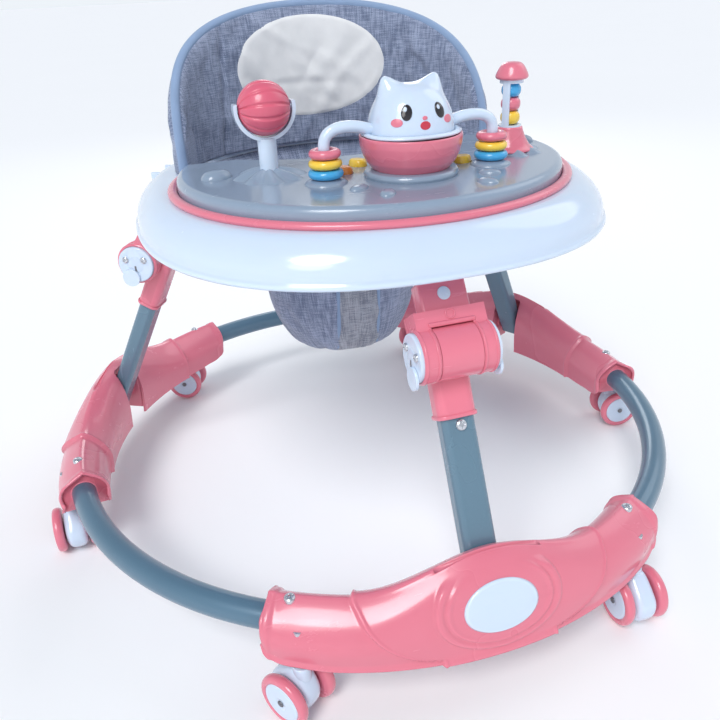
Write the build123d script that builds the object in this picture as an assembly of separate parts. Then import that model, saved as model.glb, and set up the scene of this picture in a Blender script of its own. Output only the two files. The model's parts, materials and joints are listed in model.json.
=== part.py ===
"""Folding baby walker: round tube base on six twin-wheel casters, three hinged legs, play tray and seat.

Millimetres, +Z up, front towards -Y. The origin is on the floor at the middle of the base ring.
A leg is drawn once in a local frame (X outward, Y along the ring, Z up) and turned to its place.
"""
from math import atan2, cos, degrees, hypot, pi, radians, sin
import os

from build123d import *

# ---------------------------------------------------------------- base ring
RING_RADIUS = 332.0          # centre line of the base tube
RING_TUBE_D = 25.0
RING_TUBE_WALL = 1.5
RING_Z = 86.0                # height of the tube's centre line
LEGS = {"front": -90.0, "right": 28.5, "left": 151.5}
FAIRING_HALF = {"front": 32.5, "right": 36.0, "left": 36.0}    # half span, degrees
SCREW_INSET = {"front": 3.3, "right": 5.4, "left": 5.4}        # screw from the fairing's end, degrees
TUBE_INSERT = 8.0            # tube end from the fairing's end, degrees
FAIRING_WALL = 3.0
COVER_FOOT_Z = 57.0
COVER_CROWN = 30.0           # rise of the cover at the leg over its ends
COVER_LEAN = 9.0             # inward lean of the outer wall at the leg
TUBE_SEAT_GAP = 0.05         # tube in the fairing's ribs
RIB_THICK = 5.0
RIB_BACK = 1.2               # rib's middle from the fairing's end, degrees

# ---------------------------------------------------------------- casters
WHEEL_D = 50.0
WHEEL_WIDTH = 10.5
AXLE_D = 5.0
CASTER_BODY_WIDTH = 23.0
CASTER_SIDE_GAP = 0.6        # wheel to body
CASTER_TRAIL = 6.0           # axle beyond the pin
CASTER_PIN_D = 7.0
CASTER_BOSS_WALL = 3.5
CASTER_PIN_RADIUS = 350.5    # from the walker's axis, just outside the tube
CASTER_ANGLE = {"front": 27.5, "right": 29.5, "left": 29.5}
CASTER_TOP_Z = 55.5
CASTER_PIN_Z = (30.0, 93.0)
CASTER_HEADING = {           # way each body trails at rest, degrees
    "front_left": 124.0, "front_right": 268.0,
    "left_front": 272.0, "left_rear": 160.0,
    "right_front": 350.0, "right_rear": 20.0,
}

# ---------------------------------------------------------------- legs
BASE_PIVOT = (323.0, 92.0)   # (outward, up)
LEG_TILT = 26.9              # tube from the vertical, degrees
LEG_RUN = 206.0              # pivot to knee, along the tube
KNEE_OFFSET = 20.5           # knee axis outside the tube's line
TRAY_PIVOT = (208.0, 345.0)
LEG_WIDTH = 30.0             # tube section along the ring
LEG_DEPTH = 20.0             # tube section outward
LEG_CORNER = 6.0
LEG_WALL = 1.5
LEG_TAIL = 11.0              # tube below the base pivot
SOCKET_START = 152.0         # lower edge of the knee socket, along the tube
SOCKET_SKIN = 2.2
SOCKET_GRIP = 24.0           # tube inside the socket
BASE_PIN_D = 8.0
PIN_GAP = 0.05               # running fit, radial
SLOT_HALF = 19.0             # half width of the leg slot in a fairing
SLOT_CLEAR = 3.0             # the slot past the tube's outer face
EAR_THICK = 6.0
SIDE_GAP = 0.5               # hinge cheeks along the pin

# ---------------------------------------------------------------- knee
KNEE_D = 45.0
BARREL_LENGTH = 36.0         # middle knuckle, on the lower leg
KNUCKLE_LENGTH = 13.5        # outer knuckles, on the upper bracket
KNEE_PIN_D = 10.0
CAP_D = 41.0
CAP_THICK = 3.5
LEVER_D = 20.0
LEVER_THICK = 2.6
BRACKET_DEPTH = 18.0
HEAD_D = 23.0
HEAD_WIDTH = 30.0
TRAY_PIN_D = 6.0
OPEN_PIVOT_GAP = 5.8         # side brackets on their tray pins
SIDE_HEAD_SLIP = 3.5         # side brackets slide this far each way between their tray ears

# ---------------------------------------------------------------- tray
TRAY_RIM_Z = 351.0
TRAY_TOP_Z = 388.0
TRAY_HALF_WIDTH = 226.0
TRAY_FRONT_Y = -259.0
TRAY_BACK_Y = 215.0
TRAY_WIDEST_Y = -20.0
TRAY_WALL = 3.0
TRAY_TOP_INSET = 23.0        # top edge inside the rim
SEAT_HOLE = (140.0, 88.0)    # half sizes of the seat opening
SEAT_Y = 72.0
TRIM_HALF = (194.3, 181.4)
TRIM_Y = -52.3
TRIM_WIDTH = 9.0
TRIM_HEIGHT = 4.0
TRIM_BACK_Y = 15.0
PANEL_GAP = 0.3
PANEL_RISE = 16.0
PANEL_WALL = 2.5
MOUND_RISE = 4.0
MOUND_TAPER = 0.72           # top radius over foot radius

# ---------------------------------------------------------------- toys
CAT_AT = (13.0, -128.0)
BOWL_FOOT_R = 33.0
BOWL_RIM_R = 44.5
BOWL_HEIGHT = 31.0
BOWL_WALL = 3.0
HEAD_R = 37.0
HEAD_HEIGHT = 40.0
EAR_HEIGHT = 2.0
ARM_D = 8.5
ARM_REACH = 78.0
ARM_RISE = 44.0              # arm's top above the panel
ARM_BEND = 18.0
TOY_RING_D = 30.0
TOY_RING_BORE = 14.0
TOY_RING_H = 8.0
BALL_R = 23.3
BALL_AT = (-104.0, -79.0)
BALL_RISE = 59.0             # ball's centre above the panel
YOKE_WALL = 3.2
YOKE_GAP = 0.8
YOKE_WIDTH = 11.0
POLE_D = 17.0
POST_AT = (132.0, -86.0)
POST_BASE_R = 19.0
POST_BASE_H = 18.0
POST_FRAME_R = 9.5
BEAD_R = 9.0
BEAD_H = 12.0
BEAD_GAP = 0.4
POST_ROD_D = 5.0
POST_CAP_R = 14.5
POST_CAP_H = 16.0
KEY_TRAVEL = 3.0
KEY_RADIUS = 62.0            # flower keys stand round the cat at this radius
KEY_SIZE = (20.0, 15.0)
KEY_ANGLES = {"left": (152.0, 122.0), "right": (18.0, 48.0)}

# ---------------------------------------------------------------- seat
BACK_OUTER = (180.0, 130.0)
BACK_THICK = 22.0
BACK_Y = 40.0
BACK_TOP_Z = 538.0
SLING_WALL = 4.0
SLING_LEVELS = ((90.0, 66.0, 340.0), (82.0, 62.0, 290.0), (80.0, 60.0, 240.0), (60.0, 50.0, 165.0))
LEG_HOLE_D = 62.0
LEG_HOLE_X = 66.0            # hole axis, 100 mm in front of the seat's middle
LEG_HOLE_Z = 285.0
LEG_HOLE_SPLAY = 24.0        # degrees outward

SEAT_GAP = 0.3               # parts that rest on each other
BACK_FOOT_Z = TRAY_TOP_Z + SEAT_GAP


# ---------------------------------------------------------------- helpers
def save(name, *solids):
    """Write one named piece, or a group of separate solids, as a STEP file."""
    shape = solids[0] if len(solids) == 1 else Compound(children=list(solids))
    export_step(shape, f"parts/{name}.step")


def tangent_rod(x, z, diameter, low, high):
    """A rod along local Y between two Y values."""
    rod = Cylinder(diameter / 2, high - low, rotation=(90, 0, 0))
    return Pos(x, (low + high) / 2, z) * rod


def at_leg(solid, leg):
    return solid.rotate(Axis.Z, LEGS[leg])


def on_ring(radius, angle):
    """A point's X and Y on a circle about the walker's axis."""
    return radius * cos(radians(angle)), radius * sin(radians(angle))


def along_leg(distance, outward=0.0):
    """Local (x, z) of a point along the leg's tube, and offset to its outer side."""
    tilt = radians(LEG_TILT)
    x = BASE_PIVOT[0] - distance * sin(tilt) + outward * cos(tilt)
    z = BASE_PIVOT[1] + distance * cos(tilt) + outward * sin(tilt)
    return x, z


KNEE = along_leg(LEG_RUN, KNEE_OFFSET)


def along_tube(width, depth, corner, start, end):
    """A rounded bar along the leg's line, between two distances from the base pivot."""
    x, z = along_leg(start)
    plane = Plane(origin=(x, 0, z), x_dir=(0, 1, 0),
                  z_dir=(-sin(radians(LEG_TILT)), 0, cos(radians(LEG_TILT))))
    section = plane * RectangleRounded(width, depth, corner)
    return extrude(section, end - start)


# ---------------------------------------------------------------- base ring
def ring_arc(start, end):
    """One length of base tube between two ring angles."""
    x, y = on_ring(RING_RADIUS, start)
    plane = Plane(origin=(x, y, RING_Z), x_dir=(cos(radians(start)), sin(radians(start)), 0),
                  z_dir=(-sin(radians(start)), cos(radians(start)), 0))
    section = plane * (Circle(RING_TUBE_D / 2) - Circle(RING_TUBE_D / 2 - RING_TUBE_WALL))
    return revolve(section, Axis.Z, end - start)


def fairing_section(share, inset=0.0, drop=0.0):
    """The cover's outline at a share of its half span: 0 at the leg, 1 at the end."""
    tube_top = RING_Z + RING_TUBE_D / 2
    centre = smooth(1.0 - share / 0.62)
    step = 2.5 * smooth((0.72 - share) / 0.06)
    foot = COVER_FOOT_Z + 6.0 * smooth((share - 0.8) / 0.2)
    top = tube_top + 11.0 + COVER_CROWN * centre + step
    inner = RING_RADIUS - 25.0 - step / 2
    outer = RING_RADIUS + 26.0 - COVER_LEAN * centre + step
    lip = RING_RADIUS + 24.5
    return (
        (inner + inset, foot - drop),
        (inner - 1.5 + inset, foot + 0.45 * (top - foot)),
        (inner + 6.0 + inset * 0.8, top - 12.0 - inset * 0.6),
        (inner + 19.0, top - inset),
        (outer - 24.0 - 2.0 * centre, top - 1.0 - inset),
        (outer - 8.0 - inset * 0.7 - 5.0 * centre, top - 14.0 - inset * 0.7),
        (outer - inset, foot + 0.42 * (top - foot)),
        (lip - inset, foot - drop),
    )


def smooth(value):
    value = min(1.0, max(0.0, value))
    return value * value * (3.0 - 2.0 * value)


FAIRING_SHARES = (0.0, 0.1, 0.2, 0.3, 0.4, 0.5, 0.6, 0.66, 0.72, 0.8, 0.9, 1.0)


def fairing_loft(half, inset=0.0, drop=0.0):
    """Solid of the cover's outline, lofted along the ring on both sides of the leg."""
    angles = [-half * share for share in reversed(FAIRING_SHARES[1:])]
    angles += [half * share for share in FAIRING_SHARES]
    sections = []
    for angle in angles:
        plane = Plane(origin=(0, 0, 0), x_dir=(cos(radians(angle)), sin(radians(angle)), 0),
                      z_dir=(sin(radians(angle)), -cos(radians(angle)), 0))
        points = fairing_section(abs(angle) / half, inset, drop)
        with BuildSketch(plane) as sketch:
            with BuildLine():
                Spline(*points)
                Line(points[-1], points[0])
            make_face()
        sections.append(sketch.sketch)
    return loft(sections, ruled=True)


def radial_slab(angle, thick, low=40.0, high=170.0):
    """A flat plate standing across the ring at an angle from the leg."""
    slab = Pos(RING_RADIUS, 0, (low + high) / 2) * Box(110, thick, high - low)
    return slab.rotate(Axis.Z, angle)


def oval_bar(width, height, z):
    """An oval bar pointing outward through the cover's outer wall at the leg."""
    bar = extrude(Plane.YZ * Ellipse(width / 2, height / 2), 60)
    return Pos(RING_RADIUS, 0, z) * bar


OVAL = (104.0, 78.0)
OVAL_Z = 104.0
OVAL_RISE = 3.5
BADGE = (64.0, 46.0)
BADGE_THICK = 1.6


def fairing(leg):
    """One base cover with its tube ribs, leg slot, hinge ears and caster sockets."""
    half = FAIRING_HALF[leg]
    outside = fairing_loft(half)
    hollow = fairing_loft(half * 1.02, FAIRING_WALL, 8.0)
    shell = outside - hollow
    pin_holes = []
    for side in (-1, 1):
        x, y = on_ring(CASTER_PIN_RADIUS, side * CASTER_ANGLE[leg])
        pin_holes.append(Pos(x, y, CASTER_PIN_Z[1] / 2) * Cylinder(CASTER_PIN_D / 2, CASTER_PIN_Z[1]))
        shell -= pin_holes[-1]
        shell -= ring_screw(leg, side, SCREW_HOLE_GAP)
    raised = fairing_loft(half, -OVAL_RISE) & oval_bar(*OVAL, OVAL_Z)
    shell += raised - hollow
    bore = Pos(0, 0, RING_Z) * Torus(RING_RADIUS, RING_TUBE_D / 2 + TUBE_SEAT_GAP)
    below = cylinder_ring(RING_RADIUS, RING_TUBE_D + 2 * TUBE_SEAT_GAP, 0.0, RING_Z)
    rib_angles = []
    for side in (-1, 1):
        rib_angles.append(side * (half - RIB_BACK))
        rib_angles.append(side * (half - TUBE_INSERT))
    for angle in rib_angles:
        shell += outside & radial_slab(angle, RIB_THICK, 64.0)
    for side, hole in zip((-1, 1), pin_holes):
        x, y = on_ring(CASTER_PIN_RADIUS, side * CASTER_ANGLE[leg])
        boss = Cylinder(CASTER_PIN_D / 2 + CASTER_BOSS_WALL, CASTER_PIN_Z[1] - CASTER_TOP_Z - 2 * SIDE_GAP)
        shell += Pos(x, y, (CASTER_TOP_Z + CASTER_PIN_Z[1]) / 2) * boss - hole
    half_leg = LEG_WIDTH / 2 + SIDE_GAP
    outer_leg = SLOT_HALF + EAR_THICK
    for side in (-1, 1):
        near, far = sorted((side * half_leg, side * outer_leg))
        shell += tangent_rod(*BASE_PIVOT, 2.4 * BASE_PIN_D, near, far)
        shell += outside & Pos(RING_RADIUS - 10, side * (SLOT_HALF + EAR_THICK / 2), 101) * Box(
            80, EAR_THICK, 74)
    cuts = [leg_slot(), bore, below, tangent_rod(*BASE_PIVOT, BASE_PIN_D, -outer_leg, outer_leg)]
    return keep_largest(shell - cuts)


def leg_slot():
    """The opening for a leg: along its tube, and everything inside the ring from there."""
    foot_x, foot_z = along_leg(-2.0 * LEG_TAIL)
    slot = Pos(foot_x, 0, foot_z) * Rot(0, -LEG_TILT, 0) * Box(
        LEG_DEPTH + 2 * SLOT_CLEAR, 2 * (LEG_WIDTH / 2 + SIDE_GAP), 140,
        align=(Align.CENTER, Align.CENTER, Align.MIN))
    reach = LEG_DEPTH / 2 + SLOT_CLEAR
    inward = Pos(foot_x + reach, 0, foot_z) * Rot(0, -LEG_TILT, 0) * Box(
        120, 2 * SLOT_HALF, 200, align=(Align.MAX, Align.CENTER, Align.CENTER))
    return slot + inward


def keep_largest(shape):
    return max(shape.solids(), key=lambda solid: solid.volume)


def cylinder_ring(radius, width, low, high):
    """An upright ring-shaped wall centred on a radius."""
    outer = Cylinder(radius + width / 2, high - low)
    inner = Cylinder(radius - width / 2, high - low + 2)
    return Pos(0, 0, (low + high) / 2) * (outer - inner)


SCREW_HEAD_D = 10.0
SCREW_HEAD_H = 3.0
SCREW_SHANK_D = 4.0
SCREW_HOLE_GAP = 0.1


def ring_screw(leg, side, clearance=0.0):
    """A pan-head screw down through a cover into the tube, in the leg's local frame."""
    angle = side * (FAIRING_HALF[leg] - SCREW_INSET[leg])
    x, y = on_ring(RING_RADIUS, angle)
    top = RING_Z + RING_TUBE_D / 2 + 11.5
    shank_top = top - 1.0
    shank_end = RING_Z - 4.0
    shank = Pos(x, y, (shank_top + shank_end) / 2) * Cylinder(
        SCREW_SHANK_D / 2 + clearance, shank_top - shank_end)
    head = Pos(x, y, top - 1.0 + SCREW_HEAD_H / 2) * Cylinder(SCREW_HEAD_D / 2 + clearance, SCREW_HEAD_H)
    return shank + head


def badge_plate():
    """The plain oval plate on the front cover: a skin of the raised oval's own curve."""
    half = FAIRING_HALF["front"]
    plate = fairing_loft(half, -OVAL_RISE - BADGE_THICK) & oval_bar(*BADGE, OVAL_Z)
    return keep_largest(plate - fairing_loft(half, -OVAL_RISE))


def base_pieces():
    names = {"ring_tube_right": ("front", "right"), "ring_tube_rear": ("right", "left"),
             "ring_tube_left": ("left", "front")}
    for name, (first, second) in names.items():
        start = LEGS[first] + FAIRING_HALF[first] - TUBE_INSERT
        end = LEGS[second] - FAIRING_HALF[second] + TUBE_INSERT
        tube = ring_arc(start, end + (360.0 if end < start else 0.0))
        for leg, side in ((first, 1), (second, -1)):
            tube -= at_leg(ring_screw(leg, side, SCREW_HOLE_GAP), leg)
        save(name, tube)
    screws = []
    pins = []
    covers = {"front": fairing("front"), "right": fairing("right")}
    covers["left"] = covers["right"]
    for leg in LEGS:
        save(f"{leg}_fairing", at_leg(covers[leg], leg))
        for side in (-1, 1):
            screws.append(at_leg(ring_screw(leg, side), leg))
        pin = tangent_rod(*BASE_PIVOT, BASE_PIN_D, -(SLOT_HALF + EAR_THICK), SLOT_HALF + EAR_THICK)
        pins.append(at_leg(pin, leg))
    save("fairing_screws", *screws)
    save("leg_base_pins", *pins)
    save("front_badge_plate", at_leg(badge_plate(), "front"))


# ---------------------------------------------------------------- casters
def caster_profile():
    """Side outline of the caster body: a rounded tongue round the axle, drawn in towards the pin."""
    tongue = Pos(CASTER_TRAIL + 3.0, WHEEL_D / 2 + 1.5) * Circle(WHEEL_D / 2 - 3.0)
    shoulder = Pos(0.5, CASTER_TOP_Z - 13.0) * Circle(11.0)
    return make_hull((tongue + shoulder).edges())


def caster(heading, pin_xy):
    """Caster body and its wheel set, trailing along a heading."""
    axle_z = WHEEL_D / 2
    body = extrude(Plane.XZ * caster_profile(), CASTER_BODY_WIDTH / 2, both=True)
    body = fillet(body.faces().filter_by(Axis.Y).edges(), CASTER_BODY_WIDTH / 4)
    collar_z = CASTER_TOP_Z - 14.0
    body += Pos(0, 0, (collar_z + CASTER_TOP_Z) / 2) * Cylinder(CASTER_PIN_D + 1.0, CASTER_TOP_Z - collar_z)
    body -= Pos(0, 0, (CASTER_PIN_Z[0] + CASTER_TOP_Z) / 2) * Cylinder(
        CASTER_PIN_D / 2 + PIN_GAP, CASTER_TOP_Z - CASTER_PIN_Z[0] + 0.01)
    axle_length = CASTER_BODY_WIDTH + 2 * CASTER_SIDE_GAP + 2 * WHEEL_WIDTH
    body -= tangent_rod(CASTER_TRAIL, axle_z, AXLE_D + 2 * PIN_GAP, -40, 40)
    axle = tangent_rod(CASTER_TRAIL, axle_z, AXLE_D, -axle_length / 2, axle_length / 2)
    wheels = []
    for side in (-1, 1):
        inside = side * (CASTER_BODY_WIDTH / 2 + CASTER_SIDE_GAP)
        outside = inside + side * WHEEL_WIDTH
        wheel = tangent_rod(CASTER_TRAIL, axle_z, WHEEL_D, min(inside, outside), max(inside, outside))
        wheel = fillet(wheel.edges().filter_by(GeomType.CIRCLE), 2.5)
        wheels.append(wheel - tangent_rod(CASTER_TRAIL, axle_z, AXLE_D, -40, 40))
    place = Pos(pin_xy[0], pin_xy[1], 0) * Rot(0, 0, heading)
    return place * body, [place * piece for piece in (*wheels, axle)]


CASTER_SIDES = {             # caster name: (leg, side of the leg along the ring)
    "front_left": ("front", -1), "front_right": ("front", 1),
    "right_front": ("right", -1), "right_rear": ("right", 1),
    "left_rear": ("left", -1), "left_front": ("left", 1),
}


def caster_pieces():
    pins = []
    for name, (leg, side) in CASTER_SIDES.items():
        pin_xy = on_ring(CASTER_PIN_RADIUS, LEGS[leg] + side * CASTER_ANGLE[leg])
        body, wheels = caster(CASTER_HEADING[name], pin_xy)
        save(f"{name}_caster", body)
        save(f"{name}_wheels", *wheels)
        pins.append(Pos(*pin_xy, (CASTER_PIN_Z[0] + CASTER_PIN_Z[1]) / 2) * Cylinder(
            CASTER_PIN_D / 2, CASTER_PIN_Z[1] - CASTER_PIN_Z[0]))
    save("caster_pins", *pins)


# ---------------------------------------------------------------- legs
def leg_tube():
    end = SOCKET_START + SOCKET_GRIP
    outer = along_tube(LEG_WIDTH, LEG_DEPTH, LEG_CORNER, -LEG_TAIL, end)
    inner = along_tube(LEG_WIDTH - 2 * LEG_WALL, LEG_DEPTH - 2 * LEG_WALL, LEG_CORNER - LEG_WALL,
                       -LEG_TAIL - 1, end + 1)
    tube = outer - inner
    tube -= tangent_rod(*BASE_PIVOT, BASE_PIN_D + 2 * PIN_GAP, -40, 40)
    return tube - leg_screw(SCREW_HOLE_GAP)


LEG_SCREW_AT = 144.0


def leg_screw(clearance=0.0):
    """The screw on the tube's outer face, under the socket."""
    face_x, face_z = along_leg(LEG_SCREW_AT, LEG_DEPTH / 2)
    inner_x, inner_z = along_leg(LEG_SCREW_AT, -LEG_DEPTH / 4)
    way = (cos(radians(LEG_TILT)), 0, sin(radians(LEG_TILT)))
    head_plane = Plane(origin=(face_x, 0, face_z), z_dir=way)
    shank_plane = Plane(origin=(inner_x, 0, inner_z), z_dir=way)
    head = extrude(head_plane * Circle(SCREW_HEAD_D / 2 - 0.5 + clearance), SCREW_HEAD_H - 0.4)
    shank = extrude(shank_plane * Circle(SCREW_SHANK_D / 2 + clearance), LEG_DEPTH * 0.75)
    return head + shank


def knee_socket():
    """Middle knuckle of the knee, with the socket that grips the tube."""
    barrel = tangent_rod(*KNEE, KNEE_D, -BARREL_LENGTH / 2, BARREL_LENGTH / 2)
    low = along_tube(LEG_WIDTH + 2 * SOCKET_SKIN, LEG_DEPTH + 2 * SOCKET_SKIN, LEG_CORNER + SOCKET_SKIN,
                     SOCKET_START, LEG_RUN + 6)
    web_x, web_z = along_leg(LEG_RUN - 6, KNEE_OFFSET / 2)
    web = Pos(web_x, 0, web_z) * Rot(0, -LEG_TILT, 0) * Box(KNEE_OFFSET, LEG_WIDTH + 2 * SOCKET_SKIN, 26)
    socket = barrel + low + web
    socket -= along_tube(LEG_WIDTH, LEG_DEPTH, LEG_CORNER, SOCKET_START - 1, SOCKET_START + SOCKET_GRIP)
    socket -= tangent_rod(*KNEE, KNEE_PIN_D, -60, 60)
    return keep_largest(socket)


def bracket_axis():
    """Way from the knee to the tray pivot, as (x, z) unit parts and a length."""
    run = (TRAY_PIVOT[0] - KNEE[0], TRAY_PIVOT[1] - KNEE[1])
    length = hypot(*run)
    return run[0] / length, run[1] / length, length


def upper_bracket(eye_gap, head_width):
    """Outer knuckles and the arm up to the tray pivot."""
    ux, uz, length = bracket_axis()
    shape = None
    for side in (-1, 1):
        near = side * (BARREL_LENGTH / 2 + SIDE_GAP)
        far = near + side * KNUCKLE_LENGTH
        knuckle = tangent_rod(*KNEE, KNEE_D, min(near, far), max(near, far))
        shape = knuckle if shape is None else shape + knuckle
    arm_start = KNEE_D / 2 + 1.5
    full = 2 * (BARREL_LENGTH / 2 + SIDE_GAP + KNUCKLE_LENGTH)
    middle = (arm_start + length) / 2
    centre = (KNEE[0] + ux * middle, 0, KNEE[1] + uz * middle)
    turn = degrees(atan2(ux, uz))
    arm = Pos(*centre) * Rot(0, turn, 0) * Box(BRACKET_DEPTH, head_width, length - arm_start)
    yoke_at = arm_start + 5.0
    yoke_place = Pos(KNEE[0] + ux * yoke_at, 0, KNEE[1] + uz * yoke_at) * Rot(0, turn, 0)
    yoke = yoke_place * Box(BRACKET_DEPTH + 8.0, full - 2.0, 10.0)
    cheeks_at = KNEE_D / 4 + 4.0
    cheeks_place = Pos(KNEE[0] + ux * cheeks_at, 0, KNEE[1] + uz * cheeks_at) * Rot(0, turn, 0)
    cheeks = cheeks_place * Box(BRACKET_DEPTH + 8.0, full - 2.0, KNEE_D / 2)
    cheeks -= tangent_rod(*KNEE, KNEE_D + 30, -BARREL_LENGTH / 2 - SIDE_GAP, BARREL_LENGTH / 2 + SIDE_GAP)
    head = tangent_rod(*TRAY_PIVOT, HEAD_D, -head_width / 2, head_width / 2)
    shape = shape + cheeks + yoke + arm + head
    shape -= tangent_rod(*KNEE, KNEE_D + 2.0, -BARREL_LENGTH / 2 - SIDE_GAP, BARREL_LENGTH / 2 + SIDE_GAP)
    shape -= tangent_rod(*KNEE, KNEE_PIN_D + 2 * PIN_GAP, -60, 60)
    shape -= tangent_rod(*TRAY_PIVOT, TRAY_PIN_D + 2 * eye_gap, -60, 60)
    return keep_largest(shape)


CAP_Y = BARREL_LENGTH / 2 + SIDE_GAP + KNUCKLE_LENGTH + SEAT_GAP
CAP_SCREW_R = 12.5
CAP_SCREW_D = 7.0


def knee_side(side):
    """White end cap, its release lever and two screws on one side of a knee."""
    inside = side * CAP_Y
    outside = inside + side * CAP_THICK
    cap = tangent_rod(*KNEE, CAP_D, min(inside, outside), max(inside, outside))
    cap = fillet(cap.edges().filter_by(GeomType.CIRCLE).sort_by(Axis.Y)[-1 if side > 0 else 0], 1.5)
    cap -= tangent_rod(*KNEE, KNEE_PIN_D, -60, 60)
    down = (KNEE[0] + CAP_D * 0.16, KNEE[1] - CAP_D * 0.36)
    lever_in = outside + side * SEAT_GAP
    lever_out = lever_in + side * LEVER_THICK
    lever = tangent_rod(*down, LEVER_D, min(lever_in, lever_out), max(lever_in, lever_out))
    screws = []
    for step in (-1, 1):
        x = KNEE[0] + step * CAP_SCREW_R * 0.86
        z = KNEE[1] + CAP_SCREW_R * 0.45
        tip = outside + side * 1.2
        root = inside + side * 1.0
        screw = tangent_rod(x, z, CAP_SCREW_D, min(root, tip), max(root, tip))
        cap -= screw
        screws.append(screw)
    return cap, lever, screws


def leg_pieces():
    for leg in LEGS:
        eye, slip = (PIN_GAP, 0.0) if leg == "front" else (OPEN_PIVOT_GAP, SIDE_HEAD_SLIP)
        save(f"{leg}_leg_tube", at_leg(leg_tube(), leg))
        save(f"{leg}_knee_socket", at_leg(knee_socket(), leg))
        save(f"{leg}_upper_bracket", at_leg(upper_bracket(eye, HEAD_WIDTH - 2 * slip), leg))
        caps = []
        levers = []
        screws = [at_leg(leg_screw(), leg)]
        for side in (-1, 1):
            cap, lever, cap_screws = knee_side(side)
            caps.append(at_leg(cap, leg))
            levers.append(at_leg(lever, leg))
            screws.extend(at_leg(screw, leg) for screw in cap_screws)
        pin_half = CAP_Y + CAP_THICK - 0.5
        save(f"{leg}_knee_caps", *caps)
        save(f"{leg}_release_levers", *levers)
        save(f"{leg}_leg_screws", *screws)
        save(f"{leg}_knee_pin", at_leg(tangent_rod(*KNEE, KNEE_PIN_D, -pin_half, pin_half), leg))


# ---------------------------------------------------------------- tray
def tray_outline(inset, z):
    """Closed egg-shaped outline of the tray at a height, drawn in by an inset."""
    points = []
    count = 28
    half = TRAY_HALF_WIDTH - inset
    for step in range(count):
        turn = 2 * pi * step / count
        reach = (TRAY_BACK_Y if sin(turn) > 0 else -TRAY_FRONT_Y) + (-TRAY_WIDEST_Y if sin(turn) > 0
                                                                    else TRAY_WIDEST_Y) - inset
        power = 0.82
        x = half * signed_power(cos(turn), power)
        y = TRAY_WIDEST_Y + reach * signed_power(sin(turn), power + 0.06)
        points.append((x, y))
    with BuildSketch(Plane.XY.offset(z)) as sketch:
        with BuildLine():
            Spline(*points, periodic=True)
        make_face()
    return sketch.sketch


def signed_power(value, power):
    return (abs(value) ** power) * (1 if value > 0 else -1 if value < 0 else 0)


def tray_body(inset, rise):
    """Domed tray solid; the hollow is the same form drawn in and lowered."""
    levels = ((0.0, 0.0), (1.0, 8.0), (6.0, 20.0), (14.0, 31.0), (TRAY_TOP_INSET, TRAY_TOP_Z - TRAY_RIM_Z))
    sections = [tray_outline(offset + inset, TRAY_RIM_Z + height - rise) for offset, height in levels]
    return loft(sections)


def oval_prism(half_x, half_y, y, low, high):
    return Pos(0, y, low) * extrude(Ellipse(half_x, half_y), high - low)


def tray_ears(leg):
    """Two ears under the tray that carry a tray pin, in the leg's local frame."""
    gap = HEAD_WIDTH / 2 + SIDE_GAP
    ears = None
    for side in (-1, 1):
        near = side * gap
        far = near + side * 4.5
        y_mid = (near + far) / 2
        ear = tangent_rod(*TRAY_PIVOT, HEAD_D, min(near, far), max(near, far))
        top = TRAY_TOP_Z - TRAY_WALL
        ear += Pos(TRAY_PIVOT[0], y_mid, (TRAY_PIVOT[1] + top + 1.0) / 2) * Box(
            HEAD_D, abs(far - near), top + 1.0 - TRAY_PIVOT[1])
        ears = ear if ears is None else ears + ear
    return at_leg(ears, leg)


def tray_shell():
    shell = tray_body(0.0, 0.0) - tray_body(TRAY_WALL, TRAY_WALL)
    shell += oval_prism(SEAT_HOLE[0] + TRAY_WALL, SEAT_HOLE[1] + TRAY_WALL, SEAT_Y,
                        TRAY_TOP_Z - 14.0, TRAY_TOP_Z - 1.0)
    for leg in LEGS:
        shell += tray_ears(leg)
    shell -= oval_prism(*SEAT_HOLE, SEAT_Y, 300, 420)
    pin = tangent_rod(*TRAY_PIVOT, TRAY_PIN_D, -60, 60)
    for leg in LEGS:
        shell -= at_leg(pin, leg)
    return keep_largest(shell)


def front_oval(inset, low, high):
    """Oval prism of the trim ring's outline, drawn in, kept clear of the seat opening and the back."""
    prism = oval_prism(TRIM_HALF[0] - inset, TRIM_HALF[1] - inset, TRIM_Y, low, high)
    prism -= oval_prism(SEAT_HOLE[0] + 6.0, SEAT_HOLE[1] + 6.0, SEAT_Y, low - 1, high + 1)
    return prism - Pos(0, TRIM_BACK_Y + 200, (low + high) / 2) * Box(500, 400, high - low + 4)


def trim_ring():
    low = TRAY_TOP_Z + SEAT_GAP
    ring = front_oval(0.0, low, low + TRIM_HEIGHT) - front_oval(TRIM_WIDTH, low - 1, low + TRIM_HEIGHT + 1)
    ring -= Pos(0, TRIM_BACK_Y - 4, low) * Box(2 * (TRIM_HALF[0] - TRIM_WIDTH), 20, 20)
    return keep_largest(ring)


PANEL_TOP_Z = TRAY_TOP_Z + PANEL_RISE


def play_panel():
    low = TRAY_TOP_Z + SEAT_GAP
    inset = TRIM_WIDTH + PANEL_GAP
    panel = front_oval(inset, low, PANEL_TOP_Z)
    panel = fillet(panel.faces().sort_by(Axis.Z)[-1].edges(), 6.0)
    panel -= front_oval(inset + PANEL_WALL + 4.0, low - 1, PANEL_TOP_Z - PANEL_WALL)
    for x, y, radius in mound_places():
        mound = Pos(x, y, PANEL_TOP_Z - PANEL_WALL / 2) * Cone(
            radius, radius * MOUND_TAPER, MOUND_RISE + PANEL_WALL / 2,
            align=(Align.CENTER, Align.CENTER, Align.MIN))
        panel += mound
    for side, angles in KEY_ANGLES.items():
        for angle in angles:
            panel -= key(angle, PANEL_GAP, PANEL_TOP_Z - 20, PANEL_TOP_Z + 20)
    return panel


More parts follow.
